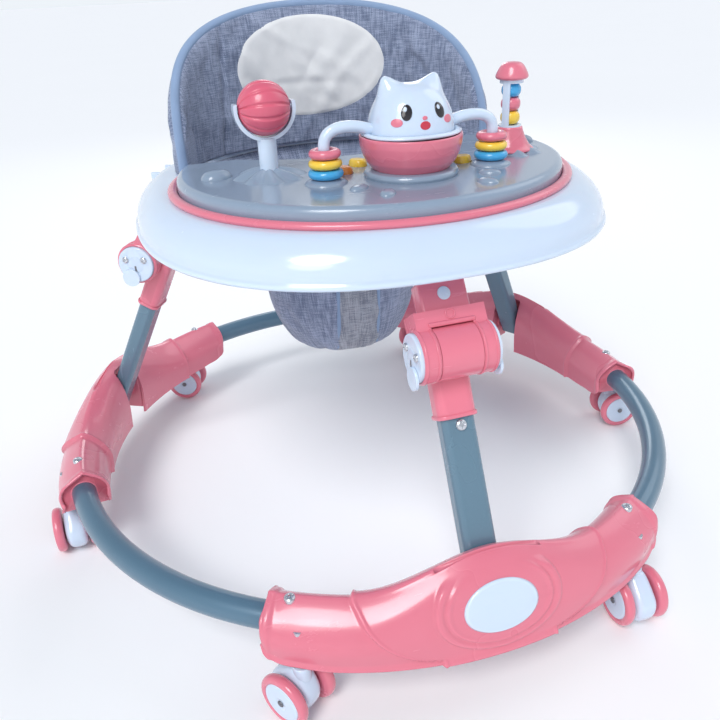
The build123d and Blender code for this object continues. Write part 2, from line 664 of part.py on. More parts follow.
def mound_places():
    places = [(*CAT_AT, BOWL_FOOT_R + 6.0)]
    places += [(CAT_AT[0] + side * ARM_REACH, CAT_AT[1], 17.0) for side in (-1, 1)]
    places += [(*BALL_AT, 22.0), (*POST_AT, 24.0)]
    return places


def key(angle, clearance, low, high):
    """A petal-shaped key standing round the cat."""
    x = CAT_AT[0] + KEY_RADIUS * cos(radians(angle))
    y = CAT_AT[1] + KEY_RADIUS * sin(radians(angle))
    petal = extrude(Ellipse(KEY_SIZE[0] / 2 + clearance, KEY_SIZE[1] / 2 + clearance), high - low)
    return Pos(x, y, low) * Rot(0, 0, angle) * petal


def tray_pieces():
    save("tray_shell", tray_shell())
    save("trim_ring", trim_ring())
    save("play_panel", play_panel())
    half = HEAD_WIDTH / 2 + SIDE_GAP + 4.5
    pin = tangent_rod(*TRAY_PIVOT, TRAY_PIN_D, -half, half)
    save("tray_pivot_pins", *[at_leg(pin, leg) for leg in LEGS])
    for side, angles in KEY_ANGLES.items():
        low = PANEL_TOP_Z - PANEL_WALL - KEY_TRAVEL
        keys = [key(angle, 0.0, low, PANEL_TOP_Z + 5.0) for angle in angles]
        keys = [fillet(piece.faces().sort_by(Axis.Z)[-1].edges(), 2.0) for piece in keys]
        save(f"{side}_petal_keys", *keys)


# ---------------------------------------------------------------- toys
TOY_Z = PANEL_TOP_Z + MOUND_RISE


def cat_pieces():
    foot = TOY_Z
    rim = foot + BOWL_HEIGHT
    with BuildPart() as bowl:
        with BuildSketch(Plane.XZ):
            with BuildLine():
                Polyline((0, foot), (BOWL_FOOT_R, foot))
                Spline((BOWL_FOOT_R, foot), (BOWL_RIM_R - 3.0, foot + BOWL_HEIGHT * 0.5), (BOWL_RIM_R, rim))
                Polyline((BOWL_RIM_R, rim), (BOWL_RIM_R - BOWL_WALL, rim))
                Spline((BOWL_RIM_R - BOWL_WALL, rim),
                       (BOWL_RIM_R - 3.0 - BOWL_WALL, foot + BOWL_HEIGHT * 0.5),
                       (BOWL_FOOT_R - 2.0, foot + BOWL_WALL))
                Polyline((BOWL_FOOT_R - 2.0, foot + BOWL_WALL), (0, foot + BOWL_WALL), (0, foot))
            make_face()
        revolve(axis=Axis.Z)
    save("cat_bowl", Pos(*CAT_AT, 0) * bowl.part)
    flange = Cylinder(BOWL_RIM_R - 0.5, 3.0, align=(Align.CENTER, Align.CENTER, Align.MIN))
    figure = Pos(0, 0, rim) * flange
    head = Sphere(1.0)
    head = scale(head, by=(HEAD_R, HEAD_R * 0.92, HEAD_HEIGHT))
    head -= Pos(0, 0, -100) * Box(200, 200, 200)
    figure += Pos(0, 0, rim + 2.0) * head
    for side in (-1, 1):
        ear = Pos(side * HEAD_R * 0.52, 0, rim + HEAD_HEIGHT * 0.72) * Cone(
            12.0, 3.5, HEAD_HEIGHT * 0.28 + EAR_HEIGHT, align=(Align.CENTER, Align.CENTER, Align.MIN))
        figure += ear
        arm_z = PANEL_TOP_Z + ARM_RISE
        path = FilletPolyline((side * 10.0, 0, arm_z), (side * ARM_REACH, 0, arm_z),
                              (side * ARM_REACH, 0, TOY_Z), radius=ARM_BEND)
        arm = sweep(Plane(origin=path @ 0, z_dir=path % 0) * Circle(ARM_D / 2), path=path)
        figure += arm
    save("cat_figure", Pos(*CAT_AT, 0) * keep_largest(figure))
    for name, side in (("left", -1), ("right", 1)):
        rings = []
        for level in range(3):
            z = TOY_Z + SEAT_GAP + level * (TOY_RING_H + SEAT_GAP)
            ring = Cylinder(TOY_RING_D / 2, TOY_RING_H, align=(Align.CENTER, Align.CENTER, Align.MIN))
            ring -= Cylinder(TOY_RING_BORE / 2, TOY_RING_H, align=(Align.CENTER, Align.CENTER, Align.MIN))
            ring = fillet(ring.edges().filter_by(GeomType.CIRCLE).group_by(SortBy.RADIUS)[-1], 3.0)
            rings.append(Pos(CAT_AT[0] + side * ARM_REACH, CAT_AT[1], z) * ring)
        save(f"{name}_arm_rings", *rings)


def ball_pieces():
    centre_z = PANEL_TOP_Z + BALL_RISE
    x, y = BALL_AT
    ring_in = BALL_R + YOKE_GAP
    ring_out = ring_in + YOKE_WALL
    yoke = tangent_rod(0, 0, 2 * ring_out, -YOKE_WIDTH / 2, YOKE_WIDTH / 2)
    yoke -= tangent_rod(0, 0, 2 * ring_in, -YOKE_WIDTH, YOKE_WIDTH)
    yoke -= Pos(0, 0, 5.0 + ring_out / 2) * Box(3 * ring_out, 2 * YOKE_WIDTH, ring_out)
    pole_length = BALL_RISE - MOUND_RISE - ring_in - 1.0
    yoke += Pos(0, 0, -ring_in - 1.0 - pole_length / 2) * Cylinder(POLE_D / 2, pole_length)
    pins = Cylinder(2.0, 2 * ring_out - 1.0, rotation=(0, 90, 0))
    yoke += pins - Sphere(BALL_R - 6.0)
    ball = Sphere(BALL_R) - Cylinder(2.0 + PIN_GAP, 3 * BALL_R, rotation=(0, 90, 0))
    yoke -= Sphere(ring_in) - Cylinder(2.0, 3 * BALL_R, rotation=(0, 90, 0))
    yoke_part = keep_largest(yoke)
    save("ball_yoke", Pos(x, y, centre_z) * yoke_part)
    save("spinning_ball", Pos(x, y, centre_z) * ball)


def post_pieces():
    x, y = POST_AT
    base_top = TOY_Z + POST_BASE_H
    stack = 3 * (BEAD_H + BEAD_GAP) + BEAD_GAP
    floor_top = base_top + 3.0
    frame_top = floor_top + stack + 3.0
    base = Pos(0, 0, TOY_Z) * Cone(POST_BASE_R, POST_FRAME_R + 2.5, POST_BASE_H,
                                   align=(Align.CENTER, Align.CENTER, Align.MIN))
    cap = Pos(0, 0, frame_top) * Cone(POST_CAP_R, POST_CAP_R * 0.55, POST_CAP_H,
                                      align=(Align.CENTER, Align.CENTER, Align.MIN))
    save("bead_post_ends", Pos(x, y, 0) * base, Pos(x, y, 0) * fillet(cap.edges(), 2.0))
    frame = Pos(0, 0, (base_top + floor_top) / 2) * Cylinder(POST_FRAME_R + 1.5, floor_top - base_top)
    frame += Pos(0, 0, (floor_top + stack + frame_top) / 2) * Cylinder(
        POST_FRAME_R + 1.5, frame_top - floor_top - stack)
    frame += Pos(0, 0, (base_top + frame_top) / 2) * Cylinder(POST_ROD_D / 2, frame_top - base_top)
    wall = Cylinder(POST_FRAME_R + 1.5, frame_top - base_top) - Cylinder(POST_FRAME_R, frame_top)
    wall &= Box(60, 7.0, frame_top)
    frame += Pos(0, 0, (base_top + frame_top) / 2) * wall
    save("bead_frame", Pos(x, y, 0) * Rot(0, 0, 35) * frame)
    beads = []
    for level in range(3):
        bead = Cylinder(BEAD_R, BEAD_H, align=(Align.CENTER, Align.CENTER, Align.MIN))
        bead = fillet(bead.edges(), 3.0)
        bead -= Cylinder(POST_ROD_D / 2 + PIN_GAP, 3 * BEAD_H)
        z = floor_top + BEAD_GAP + level * (BEAD_H + BEAD_GAP)
        beads.append(Pos(x, y, z) * bead)
    save("post_beads", *beads)


# ---------------------------------------------------------------- seat
def seat_back():
    wall = oval_prism(*BACK_OUTER, BACK_Y, BACK_FOOT_Z, BACK_TOP_Z)
    wall -= oval_prism(BACK_OUTER[0] - BACK_THICK, BACK_OUTER[1] - BACK_THICK, BACK_Y,
                       BACK_FOOT_Z - 1, BACK_TOP_Z + 1)
    half = BACK_OUTER[0] + 2.0
    rise = BACK_TOP_Z - BACK_FOOT_Z
    with BuildSketch(Plane.XZ.offset(-400)) as outline:
        with BuildLine():
            Spline((-half * 0.86, BACK_FOOT_Z), (-half * 0.97, BACK_FOOT_Z + rise * 0.38),
                   (-half * 0.62, BACK_FOOT_Z + rise * 0.86), (0, BACK_TOP_Z),
                   (half * 0.62, BACK_FOOT_Z + rise * 0.86), (half * 0.97, BACK_FOOT_Z + rise * 0.38),
                   (half * 0.86, BACK_FOOT_Z))
            Line((half * 0.86, BACK_FOOT_Z), (-half * 0.86, BACK_FOOT_Z))
        make_face()
    arch = extrude(outline.sketch, 800)
    wall &= arch
    wall -= Pos(0, BACK_Y - 200 + 6.0, (BACK_FOOT_Z + BACK_TOP_Z) / 2) * Box(500, 400, 300)
    return keep_largest(wall)


def sling_body(inset, lift):
    sections = []
    hem = (SEAT_HOLE[0] - SEAT_GAP, SEAT_HOLE[1] - SEAT_GAP, TRAY_TOP_Z - 5.0)
    for half_x, half_y, z in (hem, *SLING_LEVELS):
        plane = Plane.XY.offset(z + lift).shift_origin((0, SEAT_Y, z + lift))
        sections.append(plane * Ellipse(half_x - inset, half_y - inset))
    return loft(sections)


def seat_sling():
    sling = sling_body(0.0, 0.0) - sling_body(SLING_WALL, SLING_WALL)
    for side in (-1, 1):
        hole = Cylinder(LEG_HOLE_D / 2, 200, rotation=(90, 0, 0))
        sling -= Pos(side * LEG_HOLE_X, SEAT_Y - 100, LEG_HOLE_Z) * Rot(0, 0, side * LEG_HOLE_SPLAY) * hole
    return keep_largest(sling)


def seat_pieces():
    save("seat_back", seat_back())
    save("seat_sling", seat_sling())


os.makedirs("parts", exist_ok=True)
base_pieces()
caster_pieces()
leg_pieces()
tray_pieces()
cat_pieces()
ball_pieces()
post_pieces()
seat_pieces()
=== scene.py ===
"""Folding baby walker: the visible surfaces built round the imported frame, in its own coordinates.

Shapes are drawn in millimetres and stored in metres. A leg, its knee and its base cover are drawn
once in a local frame (X outward, Y along the ring, Z up) and turned to their place.
"""
import json
import math

import bmesh
import bpy
import numpy as np
from mathutils import Matrix, Vector


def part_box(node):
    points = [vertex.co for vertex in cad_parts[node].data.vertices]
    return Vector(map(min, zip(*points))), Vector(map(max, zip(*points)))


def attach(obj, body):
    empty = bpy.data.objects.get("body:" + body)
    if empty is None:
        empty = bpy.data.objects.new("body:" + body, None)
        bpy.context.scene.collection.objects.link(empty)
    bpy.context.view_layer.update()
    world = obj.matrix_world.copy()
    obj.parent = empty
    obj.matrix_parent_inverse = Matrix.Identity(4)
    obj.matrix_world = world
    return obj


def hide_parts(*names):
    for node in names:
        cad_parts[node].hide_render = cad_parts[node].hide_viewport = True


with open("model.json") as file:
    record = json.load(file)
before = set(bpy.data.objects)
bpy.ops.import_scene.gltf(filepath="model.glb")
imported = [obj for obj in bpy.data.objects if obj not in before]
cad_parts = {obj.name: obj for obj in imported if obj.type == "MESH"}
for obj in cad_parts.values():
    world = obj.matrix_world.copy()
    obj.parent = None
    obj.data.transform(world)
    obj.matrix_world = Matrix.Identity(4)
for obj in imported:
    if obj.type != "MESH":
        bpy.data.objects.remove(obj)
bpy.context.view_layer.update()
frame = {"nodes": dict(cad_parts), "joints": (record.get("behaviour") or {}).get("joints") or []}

MM = 0.001
JOINTS = {joint["name"]: joint for joint in frame["joints"]}


# ------------------------------------------------------------------ finishes
class Value:
    """A node socket that arithmetic turns into Math nodes."""

    def __init__(self, finish, socket):
        self.finish = finish
        self.socket = socket

    def math(self, operation, *values):
        return self.finish.node("ShaderNodeMath", {"operation": operation}, (self, *values))

    def __add__(self, other):
        return self.math("ADD", other)

    def __sub__(self, other):
        return self.math("SUBTRACT", other)

    def __rsub__(self, other):
        return self.finish.node("ShaderNodeMath", {"operation": "SUBTRACT"}, (other, self))

    def __mul__(self, other):
        return self.math("MULTIPLY", other)

    __radd__ = __add__
    __rmul__ = __mul__

    def step(self, low, high):
        """0 below low, 1 above high, smooth between."""
        settings = {"interpolation_type": "SMOOTHSTEP"}
        return self.finish.node("ShaderNodeMapRange", settings, (self, low, high, 0.0, 1.0))


class Finish:
    """One material under construction."""

    def __init__(self, name):
        self.material = bpy.data.materials.new(name)
        self.material.use_nodes = True
        self.tree = self.material.node_tree
        self.shader = self.tree.nodes["Principled BSDF"]

    def node(self, kind, settings=None, inputs=(), output=0):
        node = self.tree.nodes.new(kind)
        for key, value in (settings or {}).items():
            setattr(node, key, value)
        pairs = inputs.items() if isinstance(inputs, dict) else enumerate(inputs)
        for key, value in pairs:
            self.feed(node.inputs[key], value)
        return Value(self, node.outputs[output])

    def feed(self, socket, value):
        if isinstance(value, Value):
            self.tree.links.new(value.socket, socket)
        elif value is not None:
            socket.default_value = value

    def place(self, stretch=(1.0, 1.0, 1.0), uv=False):
        """Coordinates in metres on the object, or along its cloth where uv is true."""
        spot = self.node("ShaderNodeTexCoord", output=2 if uv else 3)
        return self.node("ShaderNodeVectorMath", {"operation": "MULTIPLY"}, (spot, stretch))

    def noise(self, scale, detail=2.0, stretch=(1.0, 1.0, 1.0), uv=False, rough=0.5):
        inputs = {"Vector": self.place(stretch, uv), "Scale": scale, "Detail": detail, "Roughness": rough}
        return self.node("ShaderNodeTexNoise", {}, inputs)

    def blend(self, factor, first, second):
        """Colour between two colours."""
        inputs = {"Factor": factor, 6: colour4(first), 7: colour4(second)}
        node = self.tree.nodes.new("ShaderNodeMix")
        node.data_type = "RGBA"
        for key, value in inputs.items():
            self.feed(node.inputs[key], value)
        return Value(self, node.outputs[2])

    def edges(self, low=0.505, high=0.56):
        """1 on sharp outer edges, where a painted highlight lightens a moulding."""
        return self.node("ShaderNodeNewGeometry", output="Pointiness").step(low, high)

    def bump(self, height, distance, strength=1.0):
        inputs = {"Strength": strength, "Distance": distance, "Height": height}
        self.feed(self.shader.inputs["Normal"], self.node("ShaderNodeBump", {}, inputs))

    def set(self, **sockets):
        for key, value in sockets.items():
            self.feed(self.shader.inputs[key.replace("_", " ")], value)


def colour4(value):
    return (*value, 1.0) if isinstance(value, tuple) and len(value) == 3 else value


def shade(colour, factor):
    return tuple(min(1.0, part * factor) for part in colour)


def moulded_plastic(name, colour, rough=0.26, coat=0.35, glow=0.05, grain=0.00006):
    """Injection-moulded plastic: slow mottling, flow marks, fine grain, painted highlights on sharp edges and
    light scuffs.
    """
    finish = Finish(name)
    cloud = finish.noise(7.0, 3.0)
    flow = finish.noise(24.0, 2.0, (0.25, 0.25, 1.0))
    scuff = finish.noise(90.0, 4.0, (0.12, 1.0, 1.0), rough=0.7).step(0.62, 0.74)
    tone = finish.blend(cloud, shade(colour, 0.93), shade(colour, 1.04))
    tone = finish.blend(flow * 0.25, tone, shade(colour, 1.10))
    # painted highlight: sharp outer edges are lightened as though they catch the light
    tone = finish.blend(finish.edges() * 0.30, tone, shade(colour, 1.22))
    tone = finish.blend(scuff * 0.10, tone, shade(colour, 0.80))
    finish.set(Base_Color=tone, Roughness=rough + 0.10 * (cloud - 0.5) + 0.12 * scuff)
    finish.set(Coat_Weight=coat, Coat_Roughness=0.08, IOR=1.49)
    finish.set(Subsurface_Weight=glow, Subsurface_Scale=0.004)
    finish.shader.inputs["Subsurface Radius"].default_value = (1.0, 0.6, 0.5)
    finish.bump(finish.noise(1400.0, 2.0) * 0.5 + finish.noise(35.0, 2.0) * 2.0, grain)
    return finish.material


def painted_steel(name, colour, rough=0.33):
    """Powder coat on a steel tube: orange peel, tiny flecks and a rubbed, lighter edge."""
    finish = Finish(name)
    cloud = finish.noise(12.0, 3.0)
    peel = finish.noise(900.0, 2.0)
    fleck = finish.noise(2600.0, 1.0).step(0.66, 0.72)
    rub = finish.noise(60.0, 5.0, (1.0, 1.0, 0.15), rough=0.7).step(0.62, 0.72)
    tone = finish.blend(cloud, shade(colour, 0.88), shade(colour, 1.10))
    tone = finish.blend(fleck * 0.25, tone, shade(colour, 1.8))
    tone = finish.blend(rub * 0.16, tone, shade(colour, 1.5))
    finish.set(Base_Color=tone, Roughness=rough + 0.12 * (cloud - 0.5) + 0.10 * rub, Metallic=0.15)
    finish.set(Coat_Weight=0.5, Coat_Roughness=0.12)
    finish.bump(peel + cloud * 0.6, 0.00010)
    return finish.material


def bright_metal(name, colour, rough):
    """Zinc-plated steel with fine turning marks and dull patches."""
    finish = Finish(name)
    cloud = finish.noise(160.0, 4.0)
    turned = finish.noise(2200.0, 1.0, (1.0, 1.0, 0.1))
    finish.set(Base_Color=finish.blend(cloud, shade(colour, 0.75), shade(colour, 1.1)))
    finish.set(Roughness=rough + 0.22 * (cloud - 0.5), Metallic=1.0)
    finish.bump(turned, 0.00003)
    return finish.material


def linen(name, dark, light, thread=0.00115, depth=0.00022):
    """Melange linen: crossed threads of uneven tone, with slubs along both ways of the weave, and painted
    shade in the dips between threads.
    """
    finish = Finish(name)
    per_metre = 1.0 / thread
    across = finish.node("ShaderNodeSeparateXYZ", {}, (finish.place((per_metre,) * 3, True),))
    along = Value(finish, across.socket.node.outputs[1])
    warp = (across * math.tau).math("SINE")
    weft = (along * math.tau).math("SINE")
    over = (across * math.pi).math("SINE") * (along * math.pi).math("SINE")
    warp_tone = finish.noise(per_metre * 1.05, 1.0, (1.0, 0.045, 1.0), True)
    weft_tone = finish.noise(per_metre * 1.05, 1.0, (0.045, 1.0, 1.0), True)
    slub = finish.noise(260.0, 3.0, (1.0, 0.18, 1.0), True)
    pick = over.step(-0.25, 0.25)
    thread_tone = warp_tone * pick + weft_tone * (1.0 - pick)
    cloud = finish.noise(26.0, 3.0, (1.0, 1.0, 1.0), True)
    mask = (thread_tone + 0.35 * (slub - 0.5) + 0.25 * (cloud - 0.5)).step(0.36, 0.64)
    height = (warp * 0.5 + 0.5) * pick + (weft * 0.5 + 0.5) * (1.0 - pick)
    tone = finish.blend(mask, dark, light)
    # painted shade: the weave is darkened where its threads dip, as in the shade between them
    tone = finish.blend((1.0 - height) * 0.30, tone, shade(dark, 0.72))
    finish.set(Base_Color=tone, Roughness=0.88 + 0.06 * (slub - 0.5))
    finish.set(Sheen_Weight=0.35, Sheen_Roughness=0.5, Specular_IOR_Level=0.25)
    finish.bump(height + slub * 0.6, depth)
    return finish.material


def bias_tape(name, colour):
    """Satin-weave binding: fine diagonal ribs."""
    finish = Finish(name)
    spot = finish.place((1.0, 1.0, 1.0))
    split = finish.node("ShaderNodeSeparateXYZ", {}, (spot,))
    up = Value(finish, split.socket.node.outputs[2])
    rib = ((split * 0.7 + up) * 5200.0).math("SINE")
    cloud = finish.noise(55.0, 3.0)
    tone = finish.blend(cloud, shade(colour, 0.86), shade(colour, 1.08))
    tone = finish.blend(rib * 0.10 + 0.10, tone, shade(colour, 0.7))
    finish.set(Base_Color=tone, Roughness=0.72 + 0.1 * (cloud - 0.5))
    finish.set(Sheen_Weight=0.3, Sheen_Roughness=0.4)
    finish.bump(rib + finish.noise(900.0, 2.0), 0.00012)
    return finish.material


PINK = (0.730, 0.185, 0.255)
# white plastic darkened and tinted blue: painted blue shade and painted sky reflection in its base colour
WHITE_WITH_PAINTED_BLUE_SHADE = (0.600, 0.705, 0.850)
PANEL_GREY = (0.255, 0.330, 0.430)

pink_plastic = moulded_plastic("pink_plastic_finish", PINK, 0.27, 0.45)
white_plastic = moulded_plastic("white_plastic_finish", WHITE_WITH_PAINTED_BLUE_SHADE, 0.16, 0.55, 0.10, 0.00004)
grey_plastic = moulded_plastic("grey_panel_finish", PANEL_GREY, 0.24, 0.5, 0.0)
orange_plastic = moulded_plastic("orange_plastic_finish", (0.90, 0.30, 0.05), 0.25, 0.5)
yellow_plastic = moulded_plastic("yellow_plastic_finish", (0.90, 0.60, 0.06), 0.25, 0.5)
blue_plastic = moulded_plastic("blue_plastic_finish", (0.05, 0.38, 0.72), 0.25, 0.5)
ring_paint = painted_steel("ring_tube_paint", (0.090, 0.180, 0.260))
leg_paint = painted_steel("leg_tube_paint", (0.120, 0.215, 0.290), 0.26)
steel = bright_metal("zinc_plated_steel", (0.70, 0.72, 0.76), 0.28)
dark_steel = bright_metal("dark_rivet_steel", (0.22, 0.22, 0.24), 0.35)
ink = moulded_plastic("dark_eye_finish", (0.012, 0.010, 0.014), 0.12, 0.6, 0.0)
cat_mouth_red = moulded_plastic("cat_mouth_red", (0.55, 0.03, 0.06), 0.3, 0.3)
pebbled_pink = moulded_plastic("pebbled_pink_finish", (0.680, 0.120, 0.190), 0.30, 0.3, 0.05, 0.00010)
seat_linen = linen("seat_linen", (0.145, 0.185, 0.290), (0.430, 0.490, 0.660), 0.00090)
crotch_linen = linen("crotch_panel_linen", (0.20, 0.22, 0.28), (0.52, 0.55, 0.62), 0.00090)
binding = bias_tape("light_binding", (0.290, 0.410, 0.620))
patch_cloth = bias_tape("white_patch_cloth", (0.96, 0.97, 0.98))


# ------------------------------------------------------------------ mesh tools
def add_piece(name, vertices, faces, material, body, replaced=(), place=None, uv=None):
    """A smooth-shaded piece from millimetre points, riding on a body."""
    points = np.asarray(vertices, float)
    if place is not None:
        points = points @ np.array(place.to_3x3()).T + np.array(place.translation)
    mesh = bpy.data.meshes.new(name)
    mesh.from_pydata((points * MM).tolist(), [], faces)
    mesh.validate()
    mesh.shade_smooth()
    if uv is not None:
        layer = mesh.uv_layers.new(name="cloth")
        index = np.zeros(len(mesh.loops), int)
        mesh.loops.foreach_get("vertex_index", index)
        layer.data.foreach_set("uv", (np.asarray(uv, float)[index] * MM).ravel())
    piece = bpy.data.objects.new(name, mesh)
    bpy.context.scene.collection.objects.link(piece)
    mesh.materials.append(material)
    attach(piece, body)
    if replaced:
        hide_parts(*replaced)
    return piece


def tidy_normals(piece):
    """Joins doubled points and turns every face outward."""
    edit = bmesh.new()
    edit.from_mesh(piece.data)
    bmesh.ops.remove_doubles(edit, verts=edit.verts, dist=0.00002)
    bmesh.ops.recalc_face_normals(edit, faces=edit.faces)
    edit.to_mesh(piece.data)
    edit.free()


def bake(piece):
    """Applies a piece's modifiers."""
    bpy.context.view_layer.update()
    evaluated = piece.evaluated_get(bpy.context.evaluated_depsgraph_get())
    mesh = bpy.data.meshes.new_from_object(evaluated)
    piece.modifiers.clear()
    piece.data = mesh


def modify(piece, kind, **settings):
    modifier = piece.modifiers.new(kind.lower(), kind)
    for key, value in settings.items():
        setattr(modifier, key, value)
    return modifier


def grid_faces(rows, columns, around=False, closed=False):
    """Quads over a grid of points; around joins the last column to the first, closed the last row."""
    faces = []
    for row in range(rows if closed else rows - 1):
        low = row * columns
        high = ((row + 1) % rows) * columns
        for column in range(columns if around else columns - 1):
            right = (column + 1) % columns
            faces.append((low + column, low + right, high + right, high + column))
    return faces


def round_corners(points, radius, steps=4):
    """The same outline with its inner corners rounded."""
    points = [np.array(point, float) for point in points]
    result = [points[0]]
    for before, corner, after in zip(points, points[1:], points[2:]):
        reach_in = min(radius, 0.5 * np.linalg.norm(before - corner))
        reach_out = min(radius, 0.5 * np.linalg.norm(after - corner))
        start = corner + (before - corner) / max(1e-9, np.linalg.norm(before - corner)) * reach_in
        end = corner + (after - corner) / max(1e-9, np.linalg.norm(after - corner)) * reach_out
        for step in range(steps + 1):
            share = step / steps
            result.append((1 - share) ** 2 * start + 2 * share * (1 - share) * corner + share ** 2 * end)
    result.append(points[-1])
    return result


def turned(name, outline, material, body, slot, replaced=(), place=None, radius=1.0, count=72):
    """A turned piece: an outline of (radius, height) swept round Z."""
    outline = round_corners(outline, radius)
    angles = np.linspace(0, math.tau, count, endpoint=False)
    points = []
    for reach, height in outline:
        reach = max(reach, 0.01)
        points += [(reach * math.cos(angle), reach * math.sin(angle), height) for angle in angles]
    piece = add_piece(name, points, grid_faces(len(outline), count, around=True), material, body,
                      replaced, place)
    tidy_normals(piece)
    return piece


def swept(name, path, section, material, body, replaced=(), place=None, closed=False):
    """A section of (sideways, up) points carried along a mostly level path."""
    path = np.asarray(path, float)
    ahead = np.roll(path, -1, 0) - np.roll(path, 1, 0)
    if not closed:
        ahead[0] = path[1] - path[0]
        ahead[-1] = path[-1] - path[-2]
    side = np.cross(ahead, (0.0, 0.0, 1.0))
    side /= np.linalg.norm(side, axis=1)[:, None]
    up = np.cross(side, ahead)
    up /= np.linalg.norm(up, axis=1)[:, None]
    section = np.asarray(section, float)
    points = (path[:, None] + section[None, :, :1] * side[:, None] + section[None, :, 1:] * up[:, None])
    faces = grid_faces(len(path), len(section), around=True, closed=closed)
    if not closed:
        last = (len(path) - 1) * len(section)
        faces.append(tuple(range(len(section))))
        faces.append(tuple(last + index for index in reversed(range(len(section)))))
    piece = add_piece(name, points.reshape(-1, 3), faces, material, body, replaced, place)
    tidy_normals(piece)
    return piece


def bent_rod(name, points, diameter, material, body, replaced=()):
    """A smooth round rod through points."""
    curve = bpy.data.curves.new(name, "CURVE")
    curve.dimensions = "3D"
    curve.bevel_depth = diameter / 2 * MM
    curve.bevel_resolution = 6
    curve.use_fill_caps = True
    spline = curve.splines.new("NURBS")
    spline.points.add(len(points) - 1)
    for point, target in zip(spline.points, points):
        point.co = (target[0] * MM, target[1] * MM, target[2] * MM, 1.0)
    spline.order_u = 4
    spline.use_endpoint_u = True
    spline.resolution_u = 12
    curve.materials.append(material)
    rod = bpy.data.objects.new(name, curve)
    bpy.context.scene.collection.objects.link(rod)
    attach(rod, body)
    if replaced:
        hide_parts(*replaced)
    return rod


def side_tag(side):
    """Letter in a piece's name for one side of a symmetric pair."""
    return "b" if side > 0 else "a"


def oval_section(width, height, count=16):
    """Even points on an oval of a width and height."""
    return [(width / 2 * math.cos(math.tau * step / count), height / 2 * math.sin(math.tau * step / count))
            for step in range(count)]


def smooth(value):
    value = np.clip(value, 0.0, 1.0)
    return value * value * (3.0 - 2.0 * value)


def joint_place(name):
    """A matrix in millimetres at a level joint: local X outward, Y along its axis, Z up."""
    joint = JOINTS[name]
    up = Vector((0, 0, 1))
    out = up.cross(Vector(joint["axis"])).normalized()
    matrix = Matrix((out, up.cross(out), up)).transposed().to_4x4()
    matrix.translation = Vector(joint["pos_m"]) * 1000.0
    return matrix


def finish_node(node, material, bevel=0.0):
    """A carried-over frame node gets its finish, and a softened edge."""
    piece = frame["nodes"][node]
    for place in piece.material_slots:
        place.material = material
    if not piece.material_slots:
        piece.data.materials.append(material)
    if bevel:
        modify(piece, "BEVEL", width=bevel * MM, segments=2, limit_method="ANGLE",
               angle_limit=math.radians(42))
    return piece


# ------------------------------------------------------------------ base covers
RING_RADIUS = 332.0
RING_Z = 86.0
RING_TUBE_D = 25.0
LEG_ANGLES = {"front": -90.0, "right": 28.5, "left": 151.5}
COVER_HALF = {"front": 32.5, "right": 36.0, "left": 36.0}
COVER_FOOT_Z = 57.0
COVER_CROWN = 30.0
COVER_LEAN = 9.0
LEG_TILT = math.radians(26.9)
LEG_FOOT = (323.0, 92.0)
SLOT_HALF = 19.0
SLOT_REACH = 13.0
OVAL_HALF = (57.0, 37.0)
OVAL_Z = 101.5
BADGE_SHARE = 0.58


def cover_outline(share):
    """Control points (radius, height) of a cover at a share of its half span."""
    centre = smooth(1.0 - share / 0.62)
    foot = COVER_FOOT_Z + 3.0 * smooth((share - 0.7) / 0.2)
    rise = 1.0 - math.sqrt(max(0.0, 1.0 - max(0.0, (share - 0.88) / 0.12) ** 2))
    foot += 15.0 * rise
    top = RING_Z + RING_TUBE_D / 2 + 11.0 + COVER_CROWN * centre
    inner = RING_RADIUS - 25.0 + 3.0 * rise
    outer = RING_RADIUS + 26.0 - COVER_LEAN * centre - 3.0 * rise
    shoulder = 1.0 - 0.30 * rise
    return np.array((
        (inner, foot),
        (inner - 1.5, foot + 0.45 * (top - foot)),
        (inner + 6.0 - 2.0 * rise, top - 12.0 * shoulder),
        (inner + 19.0, top),
        (outer - 24.0 - 2.0 * centre, top - 1.0),
        (outer - 8.0 - 5.0 * centre + 3.0 * rise, top - 14.0 * shoulder),
        (outer, foot + 0.42 * (top - foot)),
        (outer - 1.5 + COVER_LEAN * centre, foot),
    ))


def smooth_line(points, count):
    """Even points on a Catmull-Rom line through control points."""
    points = np.asarray(points, float)
    padded = np.vstack((2 * points[0] - points[1], points, 2 * points[-1] - points[-2]))
    fine = []
    for index in range(len(points) - 1):
        a, b, c, d = padded[index:index + 4]
        for t in np.linspace(0, 1, 24, endpoint=False):
            fine.append(0.5 * (2 * b + (c - a) * t + (2 * a - 5 * b + 4 * c - d) * t * t
                               + (3 * b - a - 3 * c + d) * t ** 3))
    fine.append(points[-1])
    fine = np.array(fine)
    length = np.concatenate(([0.0], np.cumsum(np.linalg.norm(np.diff(fine, axis=0), axis=1))))
    even = np.linspace(0, length[-1], count)
    return np.stack([np.interp(even, length, fine[:, axis]) for axis in range(fine.shape[1])], 1)


